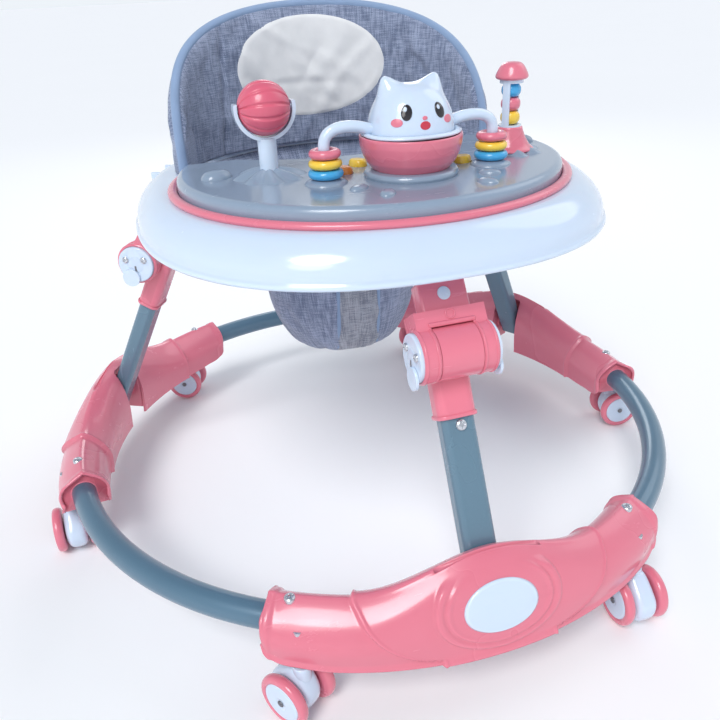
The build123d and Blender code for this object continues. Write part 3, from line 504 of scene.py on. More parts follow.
def cover_relief(leg, share, side_angle, line):
    """How far a cover's surface stands proud of its plain outline, in millimetres."""
    foot, top = line[-1, 1], line[:, 1].max()
    height = (line[:, 1] - foot) / (top - foot)
    outer_face = smooth((line[:, 0] - RING_RADIUS + 6.0) / 14.0)
    sweep = 0.37 if leg == "front" else 0.24
    ridge = 0.63 - sweep * (1.0 - np.sqrt(np.clip((height - 0.08) / 0.92, 0, 1))) * outer_face
    relief = 3.0 * smooth((ridge - share) / 0.012 + 0.5)
    relief += 1.3 * smooth(1.0 - np.abs(ridge - share - 0.010) / 0.012)
    arc = np.linspace(0, 1, len(line))
    lip = smooth(1.0 - (1.0 - arc) / 0.045)
    relief += 2.0 * lip * (arc > 0.5)
    relief += 1.5 * smooth((share - 0.955) / 0.02)
    if leg == "front":
        across = RING_RADIUS * math.radians(abs(side_angle)) * 1.05
        radial = np.sqrt((across / OVAL_HALF[0]) ** 2 + ((line[:, 1] - OVAL_Z) / OVAL_HALF[1]) ** 2)
        mask = outer_face * smooth((line[:, 0] - RING_RADIUS) / 10.0)
        raised = 3.4 * smooth((1.0 - radial) / 0.05 + 0.4)
        groove = -1.7 * smooth(1.0 - np.abs(radial - 0.86) / 0.045)
        dish = -1.0 * smooth((0.80 - radial) / 0.06)
        relief += mask * (raised + groove + dish)
    return relief


def base_cover(leg):
    half = COVER_HALF[leg]
    columns = 132
    rows = 300 if leg == "front" else 240
    points = []
    for angle in np.linspace(-half, half, rows):
        share = abs(angle) / half
        line = smooth_line(cover_outline(share), columns)
        ahead = np.gradient(line, axis=0)
        outward = np.stack((-ahead[:, 1], ahead[:, 0]), 1)
        outward /= np.linalg.norm(outward, axis=1)[:, None]
        line = line + outward * (cover_relief(leg, share, angle, line) - 0.2)[:, None]
        turn = math.radians(angle)
        points += [(r * math.cos(turn), r * math.sin(turn), z) for r, z in line]
    place = Matrix.Rotation(math.radians(LEG_ANGLES[leg]), 4, "Z")
    cover = add_piece(f"{leg}_base_cover", points, grid_faces(rows, columns), pink_plastic, "base",
                      (f"{leg}_fairing",))
    modify(cover, "SOLIDIFY", thickness=2.8 * MM, offset=-1.0)
    bake(cover)
    cut_leg_slot(cover)
    cover.data.transform(place)
    for side in (-1, 1):
        cover_end_wall(leg, side, place)
        hinge_ear(leg, side, place)
    pivot_boss(leg, place)
    return cover


def box_mesh(name, low, high):
    corners = [(x, y, z) for x in (low[0], high[0]) for y in (low[1], high[1]) for z in (low[2], high[2])]
    mesh = bpy.data.meshes.new(name)
    faces = [(0, 1, 3, 2), (4, 6, 7, 5), (0, 4, 5, 1), (2, 3, 7, 6), (0, 2, 6, 4), (1, 5, 7, 3)]
    mesh.from_pydata([tuple(c * MM for c in corner) for corner in corners], [], faces)
    cutter = bpy.data.objects.new(name, mesh)
    bpy.context.scene.collection.objects.link(cutter)
    return cutter


def cut_leg_slot(cover):
    """Opens the cover for the leg, from its outer face inwards."""
    cutter = box_mesh("slot_cutter", (-110.0, -SLOT_HALF, -26.0), (SLOT_REACH, SLOT_HALF, 180.0))
    turn = Matrix.Rotation(-LEG_TILT, 4, "Y")
    turn.translation = Vector((LEG_FOOT[0] * MM, 0, LEG_FOOT[1] * MM))
    cutter.data.transform(turn)
    modify(cutter, "BEVEL", width=5.0 * MM, segments=4)
    bake(cutter)
    modify(cover, "BOOLEAN", operation="DIFFERENCE", object=cutter, solver="EXACT")
    bake(cover)
    bpy.data.objects.remove(cutter)


def cover_end_wall(leg, side, place):
    """The wall that closes a cover's end round the tube."""
    angle = side * (COVER_HALF[leg] - 0.7)
    line = smooth_line(cover_outline(abs(angle) / COVER_HALF[leg]), 60)
    centre = np.array((RING_RADIUS, RING_Z))
    inset = centre + (line - centre) * 0.955
    bottom = np.linspace(inset[-1], inset[0], 14)[1:-1]
    loop = np.vstack((inset, bottom))
    hole = []
    for point in loop:
        way = (point - centre) / np.linalg.norm(point - centre)
        hole.append(centre + way * (RING_TUBE_D / 2 + 0.3))
    points = []
    for ring, push in ((hole, 1.6), (hole, 0.0), (loop, 0.0)):
        turn = math.radians(angle) + side * math.radians(push / RING_RADIUS * 57.3)
        points += [(r * math.cos(turn), r * math.sin(turn), z) for r, z in ring]
    wall = add_piece(f"{leg}_cover_end_{side_tag(side)}", points,
                     grid_faces(3, len(loop), around=True), pink_plastic, "base")
    modify(wall, "SOLIDIFY", thickness=2.5 * MM, offset=0.0)
    bake(wall)
    wall.data.transform(place)


def rounded_bar(name, low, high, bevel, material, body, place, replaced=(), segments=4):
    """A bar between two corners in a local frame, with rounded edges."""
    bar = box_mesh(name, low, high)
    modify(bar, "BEVEL", width=bevel * MM, segments=segments)
    bake(bar)
    bar.data.transform(Matrix.Translation(place.translation * MM) @ place.to_3x3().to_4x4())
    bar.data.shade_smooth()
    bar.data.materials.append(material)
    modify(bar, "WEIGHTED_NORMAL")
    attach(bar, body)
    if replaced:
        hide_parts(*replaced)
    return bar


def hinge_ear(leg, side, place):
    """The cheek beside a leg that carries its pin."""
    near, far = sorted((side * 19.2, side * 25.0))
    low = (LEG_FOOT[0] - 17.0, near, COVER_FOOT_Z + 6.0)
    high = (LEG_FOOT[0] + 17.0, far, LEG_FOOT[1] + 18.0)
    rounded_bar(f"{leg}_hinge_cheek_{side_tag(side)}", low, high, 2.5, pink_plastic, "base",
                place)


def pivot_boss(leg, place):
    """Turned collars on the leg pin, between the leg and its cheeks."""
    for side in (-1, 1):
        spot = Matrix.Translation((LEG_FOOT[0], side * 17.3, LEG_FOOT[1]))
        sideways = spot @ Matrix.Rotation(math.pi / 2, 4, "X")
        turned(f"{leg}_pin_collar_{side_tag(side)}",
               ((4.2, -1.6), (9.0, -1.6), (9.0, 1.6), (4.2, 1.6)), pink_plastic, "base", "pink_plastic",
               (), place @ sideways, 0.5, 40)


for cover_leg in LEG_ANGLES:
    base_cover(cover_leg)


def badge_plate():
    """Plain oval plate in the front cover's dish, gently crowned, with a rolled rim."""
    place = Matrix.Rotation(math.radians(LEG_ANGLES["front"]), 4, "Z")
    rings = 14
    count = 96
    points = []
    for ring in range(rings + 1):
        share = ring / rings
        for step in range(count):
            turn = math.tau * step / count
            across = OVAL_HALF[0] * BADGE_SHARE * share * math.cos(turn)
            up = OVAL_Z + OVAL_HALF[1] * BADGE_SHARE * share * math.sin(turn)
            share_out = abs(across) / (math.radians(COVER_HALF["front"]) * RING_RADIUS * 1.05)
            line = smooth_line(cover_outline(share_out), 90)
            outer = line[45:]
            order = np.argsort(outer[:, 1])
            reach = np.interp(up, outer[order, 1], outer[order, 0])
            lift = 5.9 + 1.2 * (1.0 - share ** 6) ** 0.5 + 0.5 * float(smooth(1.0 - abs(share - 0.93) / 0.05))
            turn_angle = across / (RING_RADIUS * 1.05)
            radius = reach + lift
            points.append((radius * math.cos(turn_angle), radius * math.sin(turn_angle), up))
    piece = add_piece("plain_oval_plate", points, grid_faces(rings + 1, count, around=True), white_plastic,
                      "base", ("front_badge_plate",), place)
    tidy_normals(piece)
    modify(piece, "SOLIDIFY", thickness=1.4 * MM, offset=-1.0)


badge_plate()


# ------------------------------------------------------------------ screws and pins
def screw_head(name, place, diameter, material, body, replaced=()):
    """A domed screw head with a cross recess, its axis along local Z."""
    count = 48
    reaches = (0.0, 0.06, 0.13, 0.2, 0.28, 0.36, 0.44, 0.52, 0.6, 0.68, 0.76, 0.84, 0.92, 0.98, 1.0, 1.0)
    points = []
    for index, share in enumerate(reaches):
        for step in range(count):
            turn = math.tau * step / count
            x, y = share * math.cos(turn), share * math.sin(turn)
            dome = 0.30 * math.sqrt(max(0.0, 1.0 - 0.92 * share * share))
            arm = min(abs(x), abs(y))
            reach = max(abs(x), abs(y))
            dip = 0.20 * float(smooth((0.16 - arm) / 0.09)) * float(smooth((0.58 - reach) / 0.10))
            height = -0.22 if index == len(reaches) - 1 else dome - dip
            points.append((max(share, 0.004) * math.cos(turn) * diameter / 2,
                           max(share, 0.004) * math.sin(turn) * diameter / 2, height * diameter))
    piece = add_piece(name, points, grid_faces(len(reaches), count, around=True), material, body,
                      replaced, place)
    tidy_normals(piece)
    return piece


SCREW_INSET = {"front": 3.3, "right": 5.4, "left": 5.4}
for cover_leg, leg_angle in LEG_ANGLES.items():
    for side in (-1, 1):
        turn = math.radians(leg_angle + side * (COVER_HALF[cover_leg] - SCREW_INSET[cover_leg]))
        spot = Vector((RING_RADIUS * math.cos(turn), RING_RADIUS * math.sin(turn),
                       RING_Z + RING_TUBE_D / 2 + 10.6))
        place = Matrix.Translation(spot) @ Matrix.Rotation(turn * 3.0, 4, "Z")
        screw_head(f"{cover_leg}_cover_screw_{side_tag(side)}", place, 10.0, steel, "base",
                   ("fairing_screws",) if (cover_leg, side) == ("front", -1) else ())


# ------------------------------------------------------------------ casters
WHEEL_R = 25.0
CASTER_HALF = 11.5


def caster_wheels(name):
    """Two pink tyres with pale dished faces and a rivet, on one axle."""
    place = joint_place(f"{name}_roll")
    body = f"{name}_wheel_set"
    for side in (-1, 1):
        sideways = place @ Matrix.Rotation(-side * math.pi / 2, 4, "X")
        inner = CASTER_HALF + 0.7
        width = 10.4
        tyre = ((3.0, inner), (19.0, inner), (22.5, inner + 0.6), (24.2, inner + 2.4), (25.0, inner + 5.2),
                (24.4, inner + 8.2), (22.8, inner + width - 0.6), (19.6, inner + width),
                (18.2, inner + width - 1.4))
        turned(f"{name}_tyre_{side_tag(side)}", tyre, pink_plastic, body, "pink_plastic",
               (f"{name}_wheels",) if side > 0 else (), sideways, 1.6)
        face = ((18.4, inner + width - 2.6), (18.3, inner + width - 0.9), (16.5, inner + width - 0.2),
                (11.0, inner + width + 0.1), (6.0, inner + width + 0.3), (4.4, inner + width - 0.4),
                (0.0, inner + width - 0.4))
        turned(f"{name}_wheel_face_{side_tag(side)}", face, white_plastic, body, "white_plastic",
               (), sideways, 0.8)
        rivet = ((3.1, inner + width - 0.8), (3.1, inner + width + 0.5), (1.6, inner + width + 1.1),
                 (0.0, inner + width + 1.2))
        turned(f"{name}_axle_rivet_{side_tag(side)}", rivet, dark_steel, body, "steel", (), sideways,
               0.5, 32)


def caster_hood(name):
    """Egg-shaped white caster body with a rounded back and a collar for the pin."""
    roll = joint_place(f"{name}_roll")
    pin = Vector(JOINTS[f"{name}_swivel_turn"]["pos_m"]) * 1000.0
    axle = roll.translation.copy()
    ahead = Vector((axle.x - pin.x, axle.y - pin.y, 0)).normalized()
    side = Vector((-ahead.y, ahead.x, 0))
    place = Matrix((ahead, side, Vector((0, 0, 1)))).transposed().to_4x4()
    place.translation = Vector((pin.x, pin.y, 0))
    count = 56
    rows = 25
    points = []
    for row in range(rows):
        lean = -1.0 + 2.0 * row / (rows - 1)
        grip = math.sqrt(max(0.0, 1.0 - abs(lean) ** 3.4))
        for step in range(count):
            turn = math.tau * step / count
            low = 22.6 * (0.80 + 0.20 * grip)
            x = 9.0 + low * math.cos(turn) * (0.9 + 0.1 * grip)
            z = 26.2 + low * math.sin(turn)
            rise = smooth((z - 30.0) / 22.0)
            x = x * (1.0 - 0.42 * rise) - 1.5 * rise
            z = z + 4.0 * rise * grip
            points.append((9.0 + (x - 9.0) * (0.72 + 0.28 * grip), lean * CASTER_HALF,
                           27.0 + (z - 27.0) * (0.72 + 0.28 * grip)))
    faces = grid_faces(rows, count, around=True)
    faces.append(tuple(range(count)))
    faces.append(tuple((rows - 1) * count + index for index in reversed(range(count))))
    hood = add_piece(f"{name}_hood", points, faces, white_plastic, f"{name}_swivel",
                     (f"{name}_caster",), place)
    tidy_normals(hood)
    modify(hood, "SUBSURF", levels=1, render_levels=1)
    collar = ((3.6, 38.0), (8.6, 38.0), (8.0, 50.0), (7.6, 55.0), (3.6, 55.2))
    turned(f"{name}_pin_collar", collar, white_plastic, f"{name}_swivel", "white_plastic", (), place, 1.0, 40)


CASTERS = ("front_left", "front_right", "left_front", "left_rear", "right_front", "right_rear")
for caster_name in CASTERS:
    caster_wheels(caster_name)
    caster_hood(caster_name)


# ------------------------------------------------------------------ carried-over frame nodes
for node in ("ring_tube_left", "ring_tube_rear", "ring_tube_right"):
    finish_node(node, ring_paint)
for node in ("leg_base_pins", "caster_pins", "tray_pivot_pins"):
    finish_node(node, steel)
for leg_name in LEG_ANGLES:
    finish_node(f"{leg_name}_leg_tube", leg_paint)
    finish_node(f"{leg_name}_knee_pin", steel)
    finish_node(f"{leg_name}_leg_screws", steel, 0.6)
    finish_node(f"{leg_name}_knee_socket", pink_plastic, 1.6)
    finish_node(f"{leg_name}_upper_bracket", pink_plastic, 1.6)
    finish_node(f"{leg_name}_knee_caps", white_plastic, 0.5)
    finish_node(f"{leg_name}_release_levers", white_plastic, 0.9)
finish_node("play_panel", grey_plastic)
finish_node("tray_shell", white_plastic)
finish_node("cat_bowl", pink_plastic, 0.8)
finish_node("cat_figure", white_plastic)
finish_node("ball_yoke", white_plastic, 0.9)
finish_node("bead_frame", white_plastic, 0.5)
finish_node("bead_post_ends", pink_plastic, 0.6)
finish_node("post_beads", blue_plastic)
finish_node("spinning_ball", pink_plastic)
finish_node("left_arm_rings", yellow_plastic)
finish_node("right_arm_rings", yellow_plastic)
finish_node("left_petal_keys", orange_plastic, 0.6)
finish_node("right_petal_keys", orange_plastic, 0.6)
finish_node("seat_back", seat_linen)
finish_node("seat_sling", seat_linen)


# ------------------------------------------------------------------ knees
def knee_details(leg):
    """Raised seams, cap screws, dark bars painted as shade in the lever grooves, and the bracket's button and
    moulded ring.
    """
    knee = joint_place(f"{leg}_knee")
    lower = f"{leg}_lower_leg"
    upper = f"{leg}_upper_leg"
    for side in (-1, 1):
        sideways = knee @ Matrix.Rotation(-side * math.pi / 2, 4, "X")
        tag = side_tag(side)
        band = ((21.5, 19.2), (23.3, 19.2), (23.3, 21.6), (21.5, 21.6))
        turned(f"{leg}_knuckle_rim_{tag}", band, pink_plastic, upper, "pink_plastic", (), sideways, 0.8, 80)
        outer = ((20.0, 29.4), (23.2, 29.4), (23.4, 31.2), (20.9, 33.0), (20.6, 31.0), (20.0, 29.4))
        turned(f"{leg}_cap_rim_{tag}", outer, pink_plastic, upper, "pink_plastic", (), sideways, 0.8, 80)
        dome = ((0.0, 36.6), (6.0, 36.4), (9.0, 36.0), (10.5, 35.4))
        turned(f"{leg}_cap_crown_{tag}", dome, white_plastic, lower, "white_plastic", (), sideways, 1.0, 56)
        for step in (-1, 1):
            place = knee @ Matrix.Translation((step * 10.75, side * 36.0, 5.6)) @ Matrix.Rotation(
                -side * math.pi / 2, 4, "X")
            end = "up" if step > 0 else "down"
            screw_head(f"{leg}_cap_screw_{tag}_{end}", place, 7.6, steel, lower)
        # painted shade: a thin dark steel bar stands in for the shade inside each lever groove
        groove_shade_place = knee @ Matrix.Translation((0.0, side * 36.2, -6.0))
        rounded_bar(f"{leg}_latch_slot_{tag}", (-1.2, -0.5, -7.0), (1.2, 0.5, 5.0), 0.4, dark_steel, lower,
                    groove_shade_place, (), 2)
    socket_band(leg)
    bracket_front(leg)


def leg_place(leg, along, outward):
    """Matrix on a leg's line: local X outward across the tube, Z up along it."""
    base = joint_place(f"{leg}_fold")
    lean = Matrix.Rotation(-LEG_TILT, 4, "Y")
    return base @ lean @ Matrix.Translation((outward, 0.0, along))


def socket_band(leg):
    """The flared lip where the knee's socket grips the tube, and the screw under it."""
    place = leg_place(leg, 152.0, 0.0)
    outline = []
    half_x, half_y, radius = 12.6, 17.6, 7.0
    for corner in range(4):
        cx = (half_x - radius) * (1 if corner in (0, 3) else -1)
        cy = (half_y - radius) * (1 if corner in (0, 1) else -1)
        for step in range(9):
            turn = math.pi / 2 * (corner + step / 8)
            outline.append((cx + radius * math.cos(turn), cy + radius * math.sin(turn)))
    path = [(x, y, 0.0) for x, y in outline]
    swept(f"{leg}_socket_lip", path, oval_section(1.2, 3.4, 12), pink_plastic, f"{leg}_lower_leg",
          (), place, closed=True)
    spot = leg_place(leg, 144.0, 10.9) @ Matrix.Rotation(math.pi / 2, 4, "Y")
    screw_head(f"{leg}_leg_screw", spot, 9.6, steel, f"{leg}_lower_leg")


def bracket_front(leg):
    """A white button, a moulded ring and a ledge line on the bracket's outer face."""
    knee = joint_place(f"{leg}_knee")
    lean = Matrix.Rotation(math.radians(-33.7), 4, "Y")
    face = knee @ lean
    rounded_bar(f"{leg}_bracket_block", (-9.0, -21.0, 25.0), (9.4, 21.0, 59.0), 2.6, pink_plastic,
                f"{leg}_upper_leg", face)
    arc = [(math.radians(90.0 - turn), 23.9, 27.6) for turn in np.linspace(-20.0, 34.0, 20)]
    points = []
    for y in (-20.6, 20.6):
        for near in (1, 2):
            points += [(row[near] * math.cos(row[0]), y, row[near] * math.sin(row[0])) for row in arc]
    count = len(arc)
    faces = []
    for index in range(count - 1):
        for first, second in ((0, 1), (1, 3), (3, 2), (2, 0)):
            faces.append((first * count + index, second * count + index, second * count + index + 1,
                          first * count + index + 1))
    faces += [(0, 2 * count, 3 * count, count), (count - 1, 2 * count - 1, 4 * count - 1, 3 * count - 1)]
    saddle = add_piece(f"{leg}_bracket_saddle", points, faces, pink_plastic, f"{leg}_upper_leg",
                       (), face)
    tidy_normals(saddle)
    modify(saddle, "BEVEL", width=1.0 * MM, segments=3, limit_method="ANGLE")
    modify(saddle, "WEIGHTED_NORMAL")
    for height, proud, name, reach, material, slot in (
            (47.0, 9.2, "button", 5.6, white_plastic, "white_plastic"),
            (29.3, 12.9, "moulded_ring", 4.6, pink_plastic, "pink_plastic")):
        place = face @ Matrix.Translation((proud, 0.0, height)) @ Matrix.Rotation(math.pi / 2, 4, "Y")
        outline = ((0.0, 1.5), (reach * 0.6, 1.5), (reach, 1.1), (reach, -0.6))
        if name == "moulded_ring":
            outline = ((reach * 0.72, 0.0), (reach * 0.74, 0.9), (reach, 0.9), (reach, -0.4))
        turned(f"{leg}_bracket_{name}", outline, material, f"{leg}_upper_leg", slot, (), place, 0.5, 40)


for knee_leg in LEG_ANGLES:
    knee_details(knee_leg)


# ------------------------------------------------------------------ tray
TRAY_RIM_Z = 351.0
TRAY_TOP_Z = 388.0
TRAY_HALF = 226.0
TRAY_FRONT = 239.0
TRAY_BACK = 235.0
TRAY_MIDDLE_Y = -20.0
SEAT_HOLE = (140.0, 88.0)
SEAT_Y = 72.0


def tray_ring(inset, height, count=220):
    """Egg-shaped outline of the tray, drawn in by an inset."""
    ring = []
    for step in range(count):
        turn = math.tau * step / count
        across, along = math.cos(turn), math.sin(turn)
        x = (TRAY_HALF - inset) * math.copysign(abs(across) ** 0.82, across)
        half = (TRAY_BACK if along > 0 else TRAY_FRONT) - inset
        y = TRAY_MIDDLE_Y + half * math.copysign(abs(along) ** 0.88, along)
        ring.append((x, y, height))
    return np.array(ring)


def even_ring(ring):
    """The same closed ring with evenly spaced, smoothed points."""
    closed = np.vstack((ring, ring[:1]))
    length = np.concatenate(([0.0], np.cumsum(np.linalg.norm(np.diff(closed, axis=0), axis=1))))
    even = np.linspace(0, length[-1], len(ring), endpoint=False)
    even_points = np.stack([np.interp(even, length, closed[:, axis]) for axis in range(3)], 1)
    for _ in range(14):
        even_points = (np.roll(even_points, 1, 0) + 2 * even_points + np.roll(even_points, -1, 0)) / 4
    return even_points


def tray():
    """Glossy white tray: rolled foot lip, domed side, flat top and a rounded seat opening."""
    profile = ((5.5, 355.0), (4.2, 351.6), (1.6, 350.6), (-0.8, 351.6), (-1.6, 353.6), (-0.8, 355.8),
               (0.6, 356.8), (1.0, 358.4), (1.2, 361.5), (1.8, 365.0), (3.2, 369.0), (5.4, 373.0),
               (8.4, 377.0), (12.0, 380.8), (16.0, 384.0), (20.0, 386.4), (24.0, 387.8), (28.0, 388.2))
    count = 220
    rows = [even_ring(tray_ring(inset, height, count)) for inset, height in profile]
    rim = rows[-1]
    angles = np.arctan2((rim[:, 1] - SEAT_Y) / SEAT_HOLE[1], rim[:, 0] / SEAT_HOLE[0])
    for share, grow, height in ((0.35, 4.0, 388.2), (0.75, 4.0, 388.2), (1.0, 4.0, 388.2), (1.0, 1.6, 387.6),
                                (1.0, 0.4, 386.0), (1.0, 0.2, 382.0), (1.0, 0.2, 374.0)):
        hole = np.stack(((SEAT_HOLE[0] + grow) * np.cos(angles),
                         SEAT_Y + (SEAT_HOLE[1] + grow) * np.sin(angles), np.full(count, height)), 1)
        row = rim * (1 - share) + hole * share
        row[:, 2] = height
        rows.append(row)
    piece = add_piece("tray_body", np.concatenate(rows), grid_faces(len(rows), count, around=True),
                      white_plastic, "tray", ("tray_shell",))
    tidy_normals(piece)
    modify(piece, "SOLIDIFY", thickness=2.4 * MM, offset=-1.0)
    for leg in LEG_ANGLES:
        place = Matrix.Rotation(math.radians(LEG_ANGLES[leg]), 4, "Z")
        for side in (-1, 1):
            near, far = sorted((side * 15.7, side * 19.8))
            low, high = (196.8, near, 334.5), (219.2, far, 384.5)
            rounded_bar(f"{leg}_tray_ear_{side_tag(side)}", low, high, 1.8, white_plastic, "tray",
                        place)


tray()


TRIM_HALF = (189.8, 176.9)
TRIM_Y = -52.3
TRIM_Z = 390.6
TRIM_END = math.radians(22.2)


def trim_ring():
    """Pink bead along the front edge of the play panel, ending at the seat back."""
    path = [(TRIM_HALF[0] * math.cos(turn), TRIM_Y + TRIM_HALF[1] * math.sin(turn), TRIM_Z)
            for turn in np.linspace(TRIM_END, -math.pi - TRIM_END, 200)]
    swept("pink_trim_bead", path, oval_section(9.4, 7.2, 20), pink_plastic, "tray",
          ("trim_ring",))


trim_ring()


# ------------------------------------------------------------------ toys on the play panel
PANEL_Z = 404.0
TOY_Z = 408.0
CAT_AT = (13.0, -128.0)
ARM_REACH = 78.0
BALL_AT = (-104.0, -79.0)
POST_AT = (132.0, -86.0)


def folded_mound(name, spot, reach, rise, folds, depth):
    """A grey rosette on the panel: a low dome pleated into folds that fade towards its top."""
    rows, count = 26, 144
    points = []
    for row in range(rows):
        share = row / (rows - 1)
        for step in range(count):
            turn = math.tau * step / count
            fold = 0.5 + 0.5 * math.cos(folds * turn + 2.2 * share)
            out = reach * (1.0 - share) * (1.0 + 0.10 * fold * (1 - share)) + 0.5
            height = rise * math.sin(math.pi / 2 * share ** 0.7)
            height -= depth * (1 - fold) * math.sin(math.pi * share ** 0.55)
            points.append((spot[0] + out * math.cos(turn), spot[1] + out * math.sin(turn),
                           PANEL_Z - 0.8 + max(0, height)))
    piece = add_piece(name, points, grid_faces(rows, count, around=True), grey_plastic, "tray")
    tidy_normals(piece)
    return piece


def dome_mound(name, spot, half, rise, turn_angle=0.0):
    """A plain oval dome on the panel."""
    rows, count = 16, 64
    points = []
    for row in range(rows):
        share = row / (rows - 1)
        reach = math.cos(math.pi / 2 * share) ** 0.8 if share < 1 else 0.01
        for step in range(count):
            turn = math.tau * step / count
            points.append((half[0] * reach * math.cos(turn), half[1] * reach * math.sin(turn),
                           rise * math.sin(math.pi / 2 * share)))
    place = Matrix.Translation((spot[0], spot[1], PANEL_Z - 0.6)) @ Matrix.Rotation(turn_angle, 4, "Z")
    piece = add_piece(name, points, grid_faces(rows, count, around=True), grey_plastic, "tray",
                      (), place)
    tidy_normals(piece)
    return piece


folded_mound("ball_rosette", BALL_AT, 31.0, 9.5, 8, 3.0)
folded_mound("post_rosette", POST_AT, 30.0, 8.0, 8, 3.0)
dome_mound("side_dome_left", (-150.0, -62.0), (15.0, 12.0), 8.0, 0.5)
dome_mound("side_dome_right", (165.0, -50.0), (13.0, 10.0), 7.0, -0.5)
dome_mound("ring_dome_left", (CAT_AT[0] - ARM_REACH, CAT_AT[1]), (19.0, 18.0), 5.5)
dome_mound("ring_dome_right", (CAT_AT[0] + ARM_REACH, CAT_AT[1]), (19.0, 18.0), 5.5)
DROPS = ((-46, -160, 0.6), (74, -160, -0.6), (-30, -186, 1.0), (58, -188, -1.0))
for index, (drop_x, drop_y, drop_turn) in enumerate(DROPS):
    dome_mound(f"drop_bump_{index}", (drop_x, drop_y), (10.0, 6.5), 4.0, drop_turn)


def cat_bowl():
    """The pink tub the cat sits in, on its grey foot ring."""
    place = Matrix.Translation((CAT_AT[0], CAT_AT[1], 0.0))
    foot = ((41.5, 404.0), (42.5, 406.5), (40.5, 409.6), (34.0, 410.2))
    turned("cat_foot_ring", foot, grey_plastic, "tray", "grey_plastic", (), place, 1.5, 96)
    outline = ((33.0, 409.0), (34.5, 410.5), (39.8, 417.0), (43.0, 424.0), (44.8, 431.5), (45.2, 437.0),
               (44.9, 438.6), (43.4, 439.0), (41.5, 438.0))
    turned("cat_tub", outline, pink_plastic, "tray", "pink_plastic", ("cat_bowl",), place, 1.2, 110)


HEAD_Z = 440.0
HEAD_HALF = (37.0, 34.0, 40.0)


def head_point(azimuth, elevation, lift=0.0):
    """A point on the cat's head: azimuth from its front, elevation from the rim."""
    way = np.array((math.sin(azimuth) * math.cos(elevation), -math.cos(azimuth) * math.cos(elevation),
                    math.sin(elevation)))
    power = 2.25
    reach = (abs(way[0]) ** power + abs(way[1]) ** power + abs(way[2]) ** power) ** (-1 / power)
    point = way * reach * (np.array(HEAD_HALF) + lift)
    for side in (-1, 1):
        ear = np.array((side * 0.50, 0.02, 0.82))
        ear = ear / np.linalg.norm(ear)
        near = math.acos(float(np.clip(way @ ear, -1, 1)))
        bump = math.exp(-(near / 0.235) ** 2)
        point = point + np.array((side * 4.0, 0.0, 10.5)) * bump
    return point + np.array((CAT_AT[0], CAT_AT[1], HEAD_Z))


def cat_head():
    """The cat's head with two ears, and the rolled collar round its foot."""
    columns, rows = 160, 72
    points = []
    for row in range(rows):
        elevation = math.pi / 2 * (row / (rows - 1)) * 0.9995
        for column in range(columns):
            points.append(head_point(math.tau * column / columns, elevation))
    ring = [np.array(point) for point in points[:columns]]
    centre = np.array((CAT_AT[0], CAT_AT[1], HEAD_Z))
    skirt = []
    for grow, drop in ((1.10, -1.6), (1.17, -0.4), (1.17, 1.2), (1.10, 2.2), (1.02, 1.8)):
        skirt += [centre + (point - centre) * (grow, grow, 1.0) + (0, 0, drop) for point in ring]
    piece = add_piece("cat_head", skirt + points, grid_faces(rows + 5, columns, around=True), white_plastic,
                      "tray", ("cat_figure",))
    tidy_normals(piece)


def face_patch(name, azimuth, elevation, half, material, lift=0.5, crown=0.6):
    """A small raised oval on the cat's head."""
    rows, count = 8, 40
    points = []
    for row in range(rows + 1):
        share = row / rows
        for step in range(count):
            turn = math.tau * step / count
            height = lift + crown * (1.0 - share ** 2) if row < rows else -0.6
            spread = min(share * (rows / (rows - 1)), 1.0)
            points.append(head_point(azimuth + half[0] * spread * math.cos(turn) / 37.0,
                                     elevation + half[1] * spread * math.sin(turn) / 40.0, height))
    piece = add_piece(name, points, grid_faces(rows + 1, count, around=True), material, "tray")
    tidy_normals(piece)


def cat_face():
    """A plain friendly animal face: oval eyes with a painted highlight, round cheeks, a small nose and mouth.
    """
    for side in (-1, 1):
        tag = "right" if side > 0 else "left"
        azimuth = side * 0.44
        face_patch(f"cat_eye_{tag}", azimuth, 0.50, (5.0, 6.4), ink, 0.25, 0.5)
        # painted highlight: a white spot on each eye, set the same way on both as a glint of the light
        face_patch(f"cat_eye_painted_highlight_{tag}", azimuth - 0.035, 0.555, (1.5, 1.8), white_plastic, 0.9, 0.3)
        face_patch(f"cat_cheek_{tag}", side * 0.66, 0.30, (5.2, 3.2), pink_plastic, 0.15, 0.3)
    face_patch("cat_nose", 0.0, 0.38, (2.3, 1.6), pink_plastic, 0.35, 0.5)
    face_patch("cat_mouth", 0.0, 0.235, (4.6, 3.4), cat_mouth_red, 0.15, 0.2)


def cat_arms():
    """The cat's two arms, each with three toy rings."""
    for side in (-1, 1):
        tag = "right" if side > 0 else "left"
        x = CAT_AT[0]
        y = CAT_AT[1]
        route = ((26.0, 441.0), (38.0, 446.0), (52.0, 449.5), (68.0, 449.0), (ARM_REACH, 443.0),
                 (ARM_REACH + 1, 432.0), (ARM_REACH, 418.0), (ARM_REACH, 407.0))
        points = [(x + side * reach, y, height) for reach, height in route]
        bent_rod(f"cat_arm_{tag}", points, 10.0, white_plastic, "tray")
        for level, material in enumerate((blue_plastic, yellow_plastic, pink_plastic)):
            place = Matrix.Translation((x + side * ARM_REACH, y, TOY_Z + 4.4 + level * 8.3))
            reach = 11.0 - 0.7 * level
            loop = [(reach * math.cos(turn), reach * math.sin(turn), 0.0)
                    for turn in np.linspace(0, math.tau, 64, endpoint=False)]
            swept(f"toy_ring_{tag}_{level}", loop, oval_section(8.6, 7.8, 18), material, f"{tag}_rings",
                  (f"{tag}_arm_rings",) if level == 0 else (), place, closed=True)


BALL_R = 23.3
BALL_Z = JOINTS["ball_spin"]["pos_m"][2] * 1000.0


BALL_RIBS = 12


def rib_fade(elevation):
    """1 over most of the ball, 0 at its two poles, where the ribs run out."""
    return (math.pi / 2 - abs(elevation)) / 0.35


